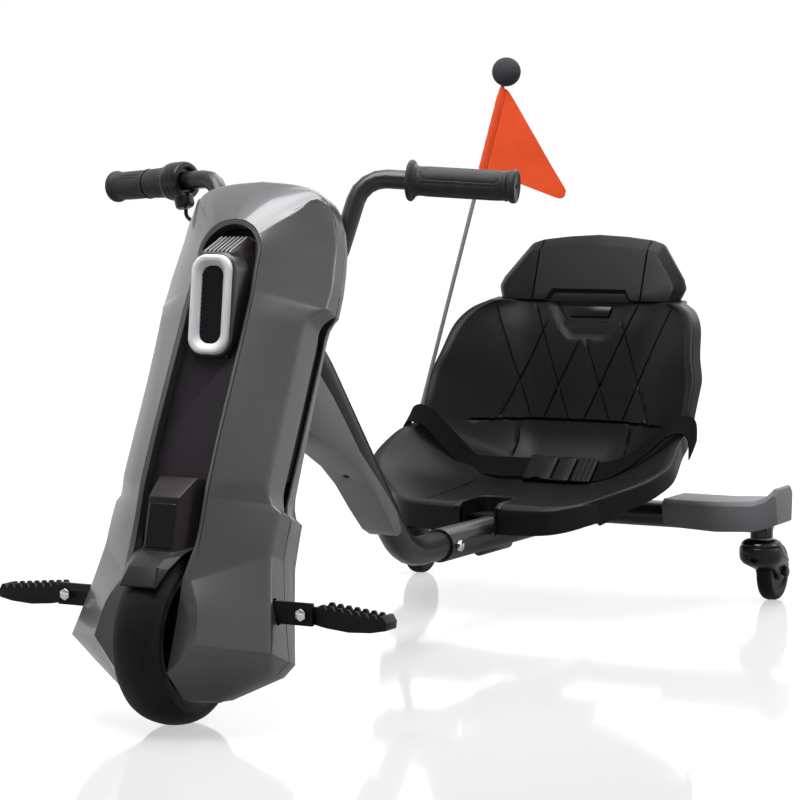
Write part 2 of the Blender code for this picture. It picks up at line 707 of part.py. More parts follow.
def build_caster(label, sign):
    """Swivel caster: fixed race, trailing fork, wheel and axle."""
    place = Vector((sign * CASTER_X, BEAM_Y, 0.0))
    swivel = empty(f"caster_{label}_swivel_axis", (place.x, place.y, RACE_BOTTOM))
    axle = Vector((place.x, CASTER_AXLE_Y, CASTER_RADIUS))
    roll = empty(f"caster_{label}_roll_axis", axle, swivel)
    up = Vector((0, 0, 1))
    race = [(0.0062, 0.0), (0.0260, 0.0), (RACE_RADIUS, 0.004), (RACE_RADIUS, 0.008), (0.026, 0.012)]
    race += [(0.0062, 0.012)]
    add_object(f"caster_{label}_race", lathe(race, place + up * RACE_BOTTOM, up, 24), "chrome")
    pin = [(0, 0), (0.010, 0), (0.010, 0.004), (0.0053, 0.004), (0.0053, 0.050), (0, 0.050)]
    add_object(f"caster_{label}_pin", lathe(pin, place + up * 0.0735, up, 16), "steel")
    crown = rod(place + up * 0.0790, place + up * (RACE_BOTTOM - GAP), 0.0285, 22)
    fork = add_object(f"caster_{label}_fork", crown, "satin_black", swivel)
    for side, direction in (("outer", 1), ("inner", -1)):
        x = place.x + direction * (CASTER_HALF_WIDTH + 0.0035)
        outline = [(0.524, 0.0835), (0.530, 0.060), (0.5805, 0.0340), (0.590, 0.0290), (0.600, 0.0290)]
        outline += [(0.6085, 0.0370), (0.6085, 0.0470), (0.600, 0.056), (0.574, 0.0835)]
        join(fork, f"{side}_leg", side_prism(outline, 0.0022, x))
    clearance = rod(axle - Vector((0.0126, 0, 0)), axle + Vector((0.0126, 0, 0)), CASTER_RADIUS + 0.0018, 22)
    cut(fork, "wheel_space", clearance)
    cut(fork, "pin_bore", rod(place + up * 0.06, place + up * 0.09, 0.0058, 16))
    head_space = rod(place + up * 0.060, place + up * 0.0780, 0.0108, 16)
    cut(fork, "head_space", head_space)
    cut(fork, "axle_bore", rod(axle - Vector((0.03, 0, 0)), axle + Vector((0.03, 0, 0)), 0.0040 + GAP, 16))
    tread = CASTER_HALF_WIDTH
    profile = [(0.0045, -tread), (CASTER_RADIUS - 0.004, -tread), (CASTER_RADIUS, -tread + 0.006)]
    profile += [(radius, -along) for radius, along in reversed(profile)]
    add_object(f"caster_{label}_wheel", lathe(profile, axle, (1, 0, 0), 26), "rubber", roll)
    pin = [(0, -0.0215), (0.0095, -0.0215), (0.0115, -0.0190), (0.0115, -0.0180), (0.0040, -0.0180)]
    pin += [(radius, -along) for radius, along in reversed(pin)]
    add_object(f"caster_{label}_axle", lathe(pin, axle, (1, 0, 0), 16), "satin_black", swivel)


# Front frame


def build_front_frame():
    """Main tube with its lower bend and gooseneck, welded to the head tube."""
    corners = [(0, TUBE_END_Y, SPINE_Z), (0, -0.0041, SPINE_Z)]
    path = rounded_path([*corners, (0, -0.225, 0.3745)], 0.10)[:-1]
    path += rounded_path([(0, -0.215, 0.363), (0, -0.2795, 0.437), (0, -0.392, 0.437)], 0.185)[1:]
    tube = sweep(path, circle_section(TUBE_RADIUS, 18), Vector((1, 0, 0)))
    frame = add_object("front_frame", tube, "frame_black", FRONT_AXIS)
    join(frame, "head_tube", rod(on_axis(HEAD_BOTTOM), on_axis(HEAD_TOP), HEAD_RADIUS, 24))
    bore = rod(on_axis(HEAD_BOTTOM - 0.01), on_axis(HEAD_TOP + 0.01), STEERER_RADIUS + RUNNING_GAP, 24)
    cut(frame, "steerer_bore", bore)
    for label, up, sign in (("lower", HEAD_BOTTOM - GAP, -1), ("upper", HEAD_TOP + GAP, 1)):
        cup = [(STEERER_RADIUS + GAP, 0.0), (0.0222, 0.0), (0.0222, 0.0045), (0.018, CUP_HEIGHT - GAP)]
        cup += [(STEERER_RADIUS + GAP, CUP_HEIGHT - GAP)]
        ring = lathe(cup, on_axis(up), AXIS_UP * sign, 20)
        add_object(f"headset_cup_{label}", ring, "steel", FRONT_AXIS)


def tube_place(along, front, x=0.0):
    """World position in the main tube's slope: down its axis and out to the front of it."""
    down = Vector((0, 0.6568, -0.7541))
    out = Vector((0, -0.7541, -0.6568))
    return Vector((x, -0.222, 0.371)) + down * along + out * front


def build_tube_cover():
    """Wedge-shaped cover saddled on the front of the sloping tube."""
    rows = [
        ((-0.012, 0.088, 0.0200), (-0.030, 0.0260, 0.0200)),
        ((0.015, 0.087, 0.0220), (0.020, 0.0250, 0.0240)),
        ((0.060, 0.069, 0.0240), (0.062, 0.0250, 0.0255)),
        ((0.124, 0.042, 0.0255), (0.112, 0.0240, 0.0255)),
        ((0.166, 0.0325, 0.0255), (0.165, 0.0160, 0.0255)),
        ((0.215, 0.0285, 0.0250), (0.208, 0.0100, 0.0255)),
        ((0.255, 0.0255, 0.0225), (0.242, 0.0060, 0.0245)),
        ((0.272, 0.0190, 0.0200), (0.276, 0.0080, 0.0200)),
    ]
    slices = [tuple((tube_place(along, front), half) for along, front, half in row) for row in rows]
    cover = add_object("tube_cover", loft_slices(slices), "gunmetal_cover", FRONT_AXIS)
    path = rounded_path([tube_place(-0.10, 0), tube_place(0.3315, 0), (0, 0.15, SPINE_Z)], 0.10)
    cut(cover, "saddle", sweep(path, circle_section(TUBE_RADIUS + 0.0006, 20), Vector((1, 0, 0))))
    cut(cover, "screw_recess", rod(tube_place(0.1440, 0.030), tube_place(0.1440, 0.060), 0.0045, 12))


def loft_slices(slices):
    """A block symmetric about x = 0, skinned over slices of a front and a rear (point, half width)."""
    bm = bmesh.new()
    rings = []
    for (front, front_half), (rear, rear_half) in slices:
        sides = [(front, front_half), (front, -front_half), (rear, -rear_half), (rear, rear_half)]
        rings.append([bm.verts.new(point + Vector((half, 0, 0))) for point, half in sides])
    for one, two in zip(rings, rings[1:]):
        for i in range(4):
            j = (i + 1) % 4
            bm.faces.new((one[i], one[j], two[j], two[i]))
    bm.faces.new(rings[0])
    bm.faces.new(rings[-1])
    return bm


# Steering


def hexagon_nut(shaft, radius, height, start, direction):
    """A nut whose bore clears a round shaft."""
    bore = (shaft + GAP) / math.cos(math.pi / 6)
    return lathe([(bore, 0), (radius, 0), (radius, height), (bore, height)], start, direction, 6)


def build_fork():
    """Two legs, a crown over the wheel, a column and the steerer, welded into one piece."""
    column = rod(on_axis(0.112), on_axis(HEAD_BOTTOM - CUP_HEIGHT - GAP), 0.0165, 24)
    fork = add_object("fork", column, "frame_black", STEER_AXIS)
    join(fork, "steerer", rod(on_axis(0.20), on_axis(STEERER_TOP), STEERER_RADIUS, 24))
    crown = [(-0.0580, 0.1070), (0.0580, 0.1070), (0.0580, 0.1200), (0.030, 0.1300), (-0.030, 0.1300)]
    crown += [(-0.0580, 0.1200)]
    side = Vector((1, 0, 0))
    join(fork, "crown", prism(crown, AXLE, side, AXIS_UP, AXIS_FRONT, -0.0150, 0.0150))
    for label, sign in SIDES:
        leg = [(-0.0125, -0.0090), (-0.0060, -0.0150), (0.0060, -0.0150), (0.0125, -0.0090)]
        leg += [(0.0125, 0.1150), (-0.0125, 0.1150)]
        low, high = sorted((sign * 0.0440, sign * 0.0560))
        join(fork, f"{label}_leg", prism(leg, AXLE, AXIS_FRONT, AXIS_UP, side, low, high))
    join(fork, "shell_tab", prism([(-0.0262, 0.190), (0, 0.190), (0, 0.205), (-0.0262, 0.205)],
                                  AXLE, AXIS_FRONT, AXIS_UP, side, -0.012, 0.012))
    ends = (AXLE - Vector((0.08, 0, 0)), AXLE + Vector((0.08, 0, 0)))
    cut(fork, "axle_bore", rod(*ends, AXLE_RADIUS + GAP, 16))
    nut = hexagon_nut(STEERER_RADIUS, 0.0180, 0.0050, on_axis(HEAD_TOP + CUP_HEIGHT + GAP), AXIS_UP)
    add_object("steerer_nut", nut, "steel", STEER_AXIS)


def build_stem():
    """Clamp on the steerer that reaches back to hold the handlebar."""
    low, high = on_axis(STEM_BOTTOM), on_axis(STEM_TOP)
    stem = add_object("stem", rod(low, high, 0.0195, 20), "satin_black", STEER_AXIS)
    half = Vector((0.0240, 0, 0))
    join(stem, "bar_clamp", rod(BAR_CENTRE - half, BAR_CENTRE + half, 0.0180, 20))
    neck = [(-0.0300, 0.4330), (0.0, STEM_BOTTOM + 0.002), (0.0, STEM_TOP - 0.002), (-0.0300, 0.4540)]
    join(stem, "neck", prism(neck, AXLE, AXIS_FRONT, AXIS_UP, Vector((1, 0, 0)), -0.0150, 0.0150))
    cut(stem, "steerer_bore", rod(low - AXIS_UP * 0.01, high + AXIS_UP * 0.01, STEERER_RADIUS + GAP, 20))
    cut(stem, "bar_bore", rod(BAR_CENTRE - half * 1.5, BAR_CENTRE + half * 1.5, BAR_RADIUS + GAP, 20))
    return stem


def build_handlebar():
    """One bent tube from grip to grip."""
    half = [BAR_CENTRE, BAR_LOWER_BEND, BAR_UPPER_BEND, BAR_END]
    left = rounded_path(half, BAR_BEND_RADIUS, math.radians(18.0))
    right = [mirrored(point, -1) for point in reversed(left[1:])]
    bm = sweep(right + left, circle_section(BAR_RADIUS, 14), Vector((0, 1, 0)))
    return add_object("handlebar", bm, "frame_black", STEER_AXIS)


def grip_line(sign):
    """Start and direction of a grip, from its inner end outwards."""
    direction = BAR_END - BAR_UPPER_BEND
    start = BAR_END - direction.normalized() * (GRIP_LENGTH - GRIP_CAP - GAP)
    return mirrored(start, sign), mirrored(direction, sign).normalized()


def build_grips():
    """Left grip, right grip, twist throttle and its housing."""
    bore = BAR_RADIUS + GAP
    end = [(0.0172, 0.1180), (0.0190, 0.1200), (0.0194, 0.1240), (0.0175, GRIP_LENGTH), (0, GRIP_LENGTH)]
    end += [(0, GRIP_LENGTH - GRIP_CAP), (bore, GRIP_LENGTH - GRIP_CAP)]
    start, direction = grip_line(1)
    left = [(bore, 0), (0.0225, 0), (0.0240, 0.0015), (0.0240, 0.0045), (0.0225, 0.0060), (0.0172, 0.0075)]
    add_object("left_grip", lathe(left + end, start, direction, 22), "grip_rubber", STEER_AXIS)
    start, direction = grip_line(-1)
    right = [(bore, TWIST_END + GAP), (0.0190, TWIST_END + GAP), (0.0190, 0.0690), (0.0172, 0.0705)]
    add_object("right_grip", lathe(right + end, start, direction, 22), "grip_rubber", STEER_AXIS)
    twist_axis = empty("twist_axis", start + direction * TWIST_START, STEER_AXIS)
    sleeve = [(bore + GAP, TWIST_START), (0.0200, TWIST_START), (0.0210, TWIST_START + 0.002)]
    sleeve += [(0.0185, TWIST_START + 0.005), (0.0178, TWIST_END - 0.001), (0.0168, TWIST_END)]
    sleeve += [(bore + GAP, TWIST_END)]
    twist = add_object("twist_sleeve", lathe(sleeve, start, direction, 22), "grip_rubber", twist_axis)
    low = direction.cross(Vector((0, 0, 1))).cross(direction).normalized()
    rib_start = start + direction * (TWIST_START + 0.006) + low * 0.0175
    rib_end = start + direction * (TWIST_END - 0.003) + low * 0.0175
    join(twist, "rib", rod(rib_start, rib_end, 0.0022, 8))
    inner = TWIST_START - 2 * GAP
    shell = [(bore, 0.0), (0.0190, 0.0), (0.0230, 0.0035), (0.0235, 0.0100), (0.0235, inner - 0.006)]
    shell += [(0.0215, inner), (bore, inner)]
    housing = add_object("throttle_housing", lathe(shell, start, direction, 24), "satin_black", STEER_AXIS)
    centre = start + direction * 0.0140
    join(housing, "lobe", rod(centre + LOBE * 0.014, centre + LOBE * 0.034, 0.0085, 20))
    exit_points = [centre + LOBE * 0.0352, centre + LOBE * 0.046]
    build_cable("throttle_cable", smooth_path([*exit_points, *CABLE_ROUTE], 3))


def build_cable(name, points):
    """A round cable along the points."""
    curve = bpy.data.curves.new(name, "CURVE")
    curve.dimensions = "3D"
    curve.bevel_depth = 0.0024
    curve.bevel_resolution = 2
    curve.use_fill_caps = True
    spline = curve.splines.new("POLY")
    spline.points.add(len(points) - 1)
    origin = world_place(STEER_AXIS)
    for slot, point in zip(spline.points, points):
        slot.co = (*(point - origin), 1.0)
    curve.materials.append(material("rubber"))
    cable = bpy.data.objects.new(name, curve)
    cable.parent = STEER_AXIS
    bpy.context.scene.collection.objects.link(cable)


def build_front_wheel():
    """Tyre, hub motor and axle with its nuts."""
    spin = empty("front_wheel_axis", AXLE, STEER_AXIS)
    side = Vector((1, 0, 0))
    half = [(RIM_RADIUS, -0.0235), (0.0730, -0.0275), (0.0840, -0.0300), (0.0925, -0.0250), (0.0982, -0.0130)]
    profile = [*half, (WHEEL_RADIUS, 0.0)] + [(radius, -along) for radius, along in reversed(half)]
    add_object("front_tyre", lathe(profile, AXLE, side, 38), "rubber", spin)
    hub = [(AXLE_RADIUS + GAP, -0.0275), (0.0150, -0.0275), (0.0170, -0.0250), (0.0540, -0.0220)]
    hub += [(RIM_RADIUS - GAP, -0.0190)]
    hub += [(radius, -along) for radius, along in reversed(hub)]
    add_object("hub_motor", lathe(hub, AXLE, side, 26), "satin_black", spin)
    axle = rod(AXLE - side * 0.0680, AXLE + side * 0.0680, AXLE_RADIUS, 16)
    add_object("axle", axle, "steel", STEER_AXIS)
    for label, sign in SIDES:
        nut = hexagon_nut(AXLE_RADIUS, 0.0100, 0.0070, AXLE + side * sign * (0.0560 + GAP), side * sign)
        add_object(f"axle_nut_{label}", nut, "steel", STEER_AXIS)


# Fairing, drawn on the rider's left in the steering frame


# Inner edge beside the wheel from the bottom up, and the ridge beside it: half width, height, front
WHEEL_ARCH = [(0.033, -0.0744, 0.0140), (0.035, -0.0555, 0.0590), (0.0378, 0, 0.0625), (0.0385, 0.0465, 0.0640)]
ARCH_RIDGE = [(0.060, -0.0673, -0.0079), (0.066, -0.0229, 0.0642), (0.060, 0.015, 0.0655), (0.044, 0.0475, 0.0655)]

# Slot: heights of its stations, and its half width and front by height
SLOT_HEIGHTS = [0.098, 0.130, 0.140, 0.148, 0.158, 0.200, 0.270, 0.335, 0.356, 0.366, 0.375, 0.385, 0.398, 0.412]
SLOT_HALF = [(0.0465, 0.0385), (0.150, 0.0395), (0.300, 0.0390), (0.380, 0.0380), (0.412, 0.0362)]
SLOT_FRONT = [(0.0465, 0.0655), (0.150, 0.0745), (0.229, 0.0735), (0.306, 0.0680), (0.380, 0.0655)]
SLOT_FRONT += [(0.470, 0.0665)]
SLOT_TOP = 0.4275
SLOT_TOP_RADIUS = 0.0362
SLOT_TOP_TURNS = [6, 20, 34, 48, 62, 76, 90]

# Outer edge of the face: half width, height, front, and the depth of the side wall behind it
FACE_EDGE = [
    (0.1200, -0.0290, -0.0125, 0.0115),
    (0.1310, -0.0141, 0.0150, 0.0390),
    (0.1180, 0.0444, 0.0170, 0.0310),
    (0.1090, 0.0926, 0.0198, 0.0275),
    (0.1085, 0.1180, 0.0205, 0.0270),
    (0.1085, 0.1420, 0.0185, 0.0250),
    (0.1000, 0.1480, 0.0240, 0.0280),
    (0.0965, 0.1580, 0.0300, 0.0340),
    (0.0950, 0.1710, 0.0345, 0.0370),
    (0.0950, 0.2198, 0.0325, 0.0370),
    (0.0950, 0.2796, 0.0296, 0.0370),
    (0.0955, 0.3410, 0.0285, 0.0370),
    (0.0960, 0.3563, 0.0285, 0.0350),
    (0.0985, 0.3680, 0.0250, 0.0320),
    (0.1035, 0.3765, 0.0186, 0.0290),
    (0.1085, 0.3820, 0.0100, 0.0240),
    (0.1085, 0.4080, 0.0065, 0.0210),
    (0.1060, 0.4341, 0.0061, 0.0210),
    (0.1030, 0.4592, 0.0059, 0.0205),
    (0.0985, 0.4830, 0.0095, 0.0195),
    (0.0905, 0.5045, 0.0143, 0.0185),
    (0.0830, 0.5150, 0.0190, 0.0170),
    (0.0700, 0.5225, 0.0225, 0.0160),
    (0.0400, 0.5290, 0.0250, 0.0155),
    (0.0, 0.5321, 0.0260, 0.0150),
]
BROW = (0.0790, 0.5085, 0.0285)
BROW_STATION = 20
LOWER_CREASE_STATION = 1
FACET_TOP_STATION = 3
FIRST_SLOT_STATION = 4
FACE_CROWN = 0.0022
LIP_WIDTH = 0.0060
LIP_DROP = 0.0014
EDGE_ROUNDING = 0.0042
CREASE_SHARE = 0.35

# Rear shell: where its wall starts in the notch, its plate by height, and the plate's inner edge
NOTCH_START = [(0.142, -0.008), (0.158, -0.013), (0.171, -0.016), (0.220, -0.019), (0.341, -0.0225)]
NOTCH_START += [(0.368, -0.019)]
NOTCH_STATIONS = (5, 14)
PLATE_FRONT = [(-0.030, -0.040), (0.044, -0.038), (0.093, -0.036), (0.142, -0.033), (0.171, -0.030)]
PLATE_FRONT += [(0.356, -0.0285), (0.382, -0.0225), (0.434, -0.024), (0.459, -0.023), (0.483, -0.018)]
PLATE_FRONT += [(0.505, -0.012), (0.532, -0.006)]
PLATE_FOOT = [(0.0425, -0.0640), (0.0610, -0.0600)]
WHEEL_OPENING = 0.0425
WHEEL_OPENING_TOP = 0.1200
NECK_OPENING = 0.0700
BUTTON_PLACE = AXLE + AXIS_UP * 0.262 + AXIS_FRONT * -0.0295 + Vector((-0.070, 0, 0))


def along_knots(knots, place):
    """The value at a place on a line through (place, value) knots."""
    for (low, first), (high, second) in zip(knots, knots[1:]):
        if place <= high:
            break
    share = min(max((place - low) / (high - low), 0.0), 1.0)
    return first + (second - first) * share


def in_steering(drawn):
    """World position of a (half width, height, front) point of the fairing's drawing."""
    return on_axis(drawn[1], drawn[2], drawn[0])


def slot_edge():
    """Drawn points of the face's inner edge, one for each station of the outer edge."""
    points = list(WHEEL_ARCH)
    points += [(along_knots(SLOT_HALF, up), up, along_knots(SLOT_FRONT, up)) for up in SLOT_HEIGHTS]
    for turn in SLOT_TOP_TURNS:
        half = SLOT_TOP_RADIUS * math.cos(math.radians(turn))
        up = SLOT_TOP + SLOT_TOP_RADIUS * math.sin(math.radians(turn))
        points.append((half, up, along_knots(SLOT_FRONT, up)))
    return [Vector(point) for point in points]


def face_station(index, inner, outer):
    """Drawn points across the face at one station, from its inner edge out to its outer edge."""
    if index < FIRST_SLOT_STATION:
        ridge = Vector(ARCH_RIDGE[index])
        first = inner
        crown = Vector()
    else:
        ridge = inner + (outer - inner).normalized() * LIP_WIDTH
        first = inner - Vector((0, 0, LIP_DROP))
        crown = Vector((0, 0, FACE_CROWN))
    middle = ridge.lerp(outer, 0.45) + crown
    outside = ridge.lerp(outer, 0.82) + crown * 0.6
    if index == BROW_STATION:
        outside = Vector(BROW)
        middle = ridge.lerp(outside, 0.55)
    return [first, ridge, middle, outside, outer]


def build_front_fairing():
    """Front shell: slot walls, folded face, notched sides and turned-back rim, with its edges rounded."""
    behind = Vector((0, 0, -1))
    inner = slot_edge()
    bm = bmesh.new()
    rows = []
    for index, (half, up, front, depth) in enumerate(FACE_EDGE):
        outer = Vector((half, up, front))
        across = face_station(index, inner[index], outer)
        drawn = [inner[index] + behind * SLOT_WALL, *across, outer + behind * depth]
        rows.append([bm.verts.new(in_steering(point)) for point in drawn])
    foot = [bm.verts.new(vert.co - AXIS_FRONT * FACE_EDGE[0][3]) for vert in rows[0][2:5]]
    rows.insert(0, [rows[0][0], rows[0][0], *foot, rows[0][6], rows[0][6]])
    weight = bm.edges.layers.float.new("bevel_weight_edge")
    for low, high in zip(rows, rows[1:]):
        for i in range(len(low) - 1):
            corners = list(dict.fromkeys((low[i], low[i + 1], high[i + 1], high[i])))
            if len(corners) > 2:
                bm.faces.new(corners)
    for low, high in zip(rows[1:], rows[2:]):
        bm.edges.get((low[5], high[5]))[weight] = 1.0
    for station in (LOWER_CREASE_STATION, FACET_TOP_STATION):
        crease = rows[station + 1]
        for one, two in zip(crease[2:5], crease[3:6]):
            bm.edges.get((one, two))[weight] = CREASE_SHARE
    shell = add_object("front_fairing", bm, "gunmetal", STEER_AXIS, facing=AXIS_FRONT, smooth_angle=24.0)
    add_mirror(shell)
    rounding = add_bevel(shell, EDGE_ROUNDING)
    rounding.limit_method = "WEIGHT"
    add_solidify(shell, SHELL_WALL)
    cut(shell, "bracket_slots", box((-0.160, -0.5325, 0.1185), (0.160, -0.5230, 0.1475)))
    return shell


def plate_inner(up):
    """Half width of the opening in the rear shell's plate at a height: the wheel's, then the gooseneck's."""
    if up < WHEEL_OPENING_TOP:
        return WHEEL_OPENING
    return NECK_OPENING if 0.330 < up < 0.472 else 0.0


def build_rear_fairing():
    """Rear shell: walls that follow the front shell's rim, and a plate open for the wheel and the gooseneck."""
    bm = bmesh.new()
    stations = [(half, up, FACE_EDGE[0][2] - FACE_EDGE[0][3]) for half, up in PLATE_FOOT]
    for index, (half, up, front, depth) in enumerate(FACE_EDGE):
        start = front - depth
        if NOTCH_STATIONS[0] <= index <= NOTCH_STATIONS[1]:
            start = along_knots(NOTCH_START, up)
        stations.append((half, up, start - RUNNING_GAP))
    rims, corners, inner = [], [], []
    for half, up, start in stations:
        plate = along_knots(PLATE_FRONT, up)
        rims.append(bm.verts.new(in_steering((half, up, start))))
        corners.append(bm.verts.new(in_steering((half, up, plate))))
        inner.append(bm.verts.new(in_steering((min(plate_inner(up), half), up, plate))))
    for i in range(len(rims) - 1):
        bm.faces.new((rims[i], rims[i + 1], corners[i + 1], corners[i]))
        bm.faces.new((corners[i], corners[i + 1], inner[i + 1], inner[i]))
    bmesh.ops.remove_doubles(bm, verts=bm.verts, dist=0.0001)
    shell = add_object("rear_fairing", bm, "gunmetal", STEER_AXIS, facing=-AXIS_FRONT, smooth_angle=24.0)
    add_mirror(shell)
    add_solidify(shell, SHELL_WALL)
    hole = rod(BUTTON_PLACE - AXIS_FRONT * 0.02, BUTTON_PLACE + AXIS_FRONT * 0.02, 0.0087, 20)
    cut(shell, "button_hole", hole)


def build_power_button():
    """Push button in the back of the rear shell."""
    axis = empty("power_button_axis", BUTTON_PLACE, STEER_AXIS)
    profile = [(0, -0.0060), (0.0070, -0.0060), (0.0080, -0.0050), (0.0080, 0.0034), (0.0100, 0.0034)]
    profile += [(0.0100, 0.0054), (0, 0.0054)]
    add_object("power_button", lathe(profile, BUTTON_PLACE, AXIS_FRONT, 20), "satin_black", axis)


def build_fairing_band(label, sign):
    """Black strip that closes the gap between the two shells along one notched side."""
    outline = [(-0.0240, 0.185), (0.0060, 0.185), (0.0060, 0.352), (-0.0240, 0.352)]
    low, high = sorted((sign * 0.0880, sign * 0.0915))
    strip = prism(outline, AXLE, AXIS_FRONT, AXIS_UP, Vector((1, 0, 0)), low, high)
    add_object(f"fairing_band_{label}", strip, "satin_black", STEER_AXIS)


def build_channel_panel():
    """Recessed panel behind the slot, with the lamp's housing and its vents."""
    slices = []
    for half, up, front in slot_edge()[FIRST_SLOT_STATION:-1]:
        place = on_axis(up, front - PANEL_DEPTH)
        slices.append(((place, half + PANEL_LAP), (place - AXIS_FRONT * SHELL_WALL, half + PANEL_LAP)))
    panel = add_object("channel_panel", loft_slices(slices), "satin_black", STEER_AXIS)
    housing = [
        ((-0.4668, 0.4030, 0.0225), (-0.4480, 0.4000, 0.0300)),
        ((-0.4536, 0.5190, 0.0212), (-0.4170, 0.5020, 0.0300)),
        ((-0.4160, 0.5345, 0.0180), (-0.4050, 0.5300, 0.0240)),
    ]
    join(panel, "lamp_housing", loft_slices(slices_of(housing)))
    top = Vector((0, -0.4536, 0.5190))
    along = (Vector((0, -0.4160, 0.5345)) - top).normalized()
    out = Vector((0, -along.z, along.y))
    vents = bmesh.new()
    for index in range(VENT_COUNT):
        x = VENT_PITCH * (index - (VENT_COUNT - 1) / 2)
        half = VENT_PITCH * 0.30
        corners = [(0.0040, -0.0030), (0.0340, -0.0030), (0.0340, 0.0050), (0.0040, 0.0050)]
        one = prism(corners, top, along, out, Vector((1, 0, 0)), x - half, x + half)
        mesh = bpy.data.meshes.new("vent")
        one.to_mesh(mesh)
        one.free()
        vents.from_mesh(mesh)
    cut(panel, "vents", vents)


def build_lamp():
    """Headlamp: a rounded ring and the mesh inside it."""
    side = Vector((1, 0, 0))
    outline = rounded_rectangle(LAMP_HALF_WIDTH, LAMP_HALF_HEIGHT, 0.0205, 4)
    body = prism(outline, LAMP_CENTRE, side, LAMP_UP, LAMP_FRONT, -0.0100, 0.0)
    ring = add_object("lamp_ring", body, "silver", STEER_AXIS)
    hole = rounded_rectangle(0.0172, 0.0382, 0.0130, 4)
    cut(ring, "opening", prism(hole, LAMP_CENTRE, side, LAMP_UP, LAMP_FRONT, -0.02, 0.01))
    add_bevel(ring, 0.0030, 1)
    mesh = rounded_rectangle(0.0168, 0.0378, 0.0126, 4)
    plate = prism(mesh, LAMP_CENTRE, side, LAMP_UP, LAMP_FRONT, -0.0098, -0.0045)
    add_object("lamp_mesh", plate, "mesh_black", STEER_AXIS)


def slices_of(rows):
    """Slices for loft_slices from pairs of (y, z, half width)."""
    return [tuple((Vector((0, y, z)), half) for y, z, half in row) for row in rows]


def build_nose_cover():
    """Box over the wheel in the slot's lower end, with a lip that stands out in front of it."""
    under = [(AXLE.y + y, AXLE.z + z) for y, z in arc((0, 0), NOSE_CLEARANCE, 97.0, 142.0, 3)]
    rows = [
        ((-0.5352, 0.2752, 0.0241), (-0.5262, 0.2735, 0.0300)),
        ((-0.5646, 0.2556, 0.0194), (-0.5324, 0.2602, 0.0312)),
        ((-0.5724, 0.2235, 0.0190), (-0.5478, 0.2105, 0.0330)),
        ((-0.5790, 0.1965, 0.0185), (*under[0], 0.0340)),
        ((-0.5930, 0.1918, 0.0184), (*under[1], 0.0320)),
        ((-0.6069, 0.1841, 0.0183), (*under[2], 0.0290)),
        ((-0.6218, 0.1644, 0.0225), (*under[3], 0.0240)),
    ]
    cover = add_object("nose_cover", loft_slices(slices_of(rows)), "satin_black", STEER_AXIS)
    add_bevel(cover, 0.0016)


def build_electrics():
    """Battery pack and controller between the shells."""
    side = Vector((1, 0, 0))
    case = [(-0.038, 0.152), (0.038, 0.152), (0.038, 0.308), (-0.038, 0.308)]
    body = prism(case, AXLE, side, AXIS_UP, AXIS_FRONT, 0.0172, 0.0430)
    pack = add_object("battery_pack", body, "battery_black", STEER_AXIS)
    add_bevel(pack, 0.003)
    case = [(0.048, 0.200), (0.080, 0.200), (0.080, 0.290), (0.048, 0.290)]
    control = prism(case, AXLE, side, AXIS_UP, AXIS_FRONT, -0.0120, 0.0120)
    add_object("controller", control, "steel", STEER_AXIS)


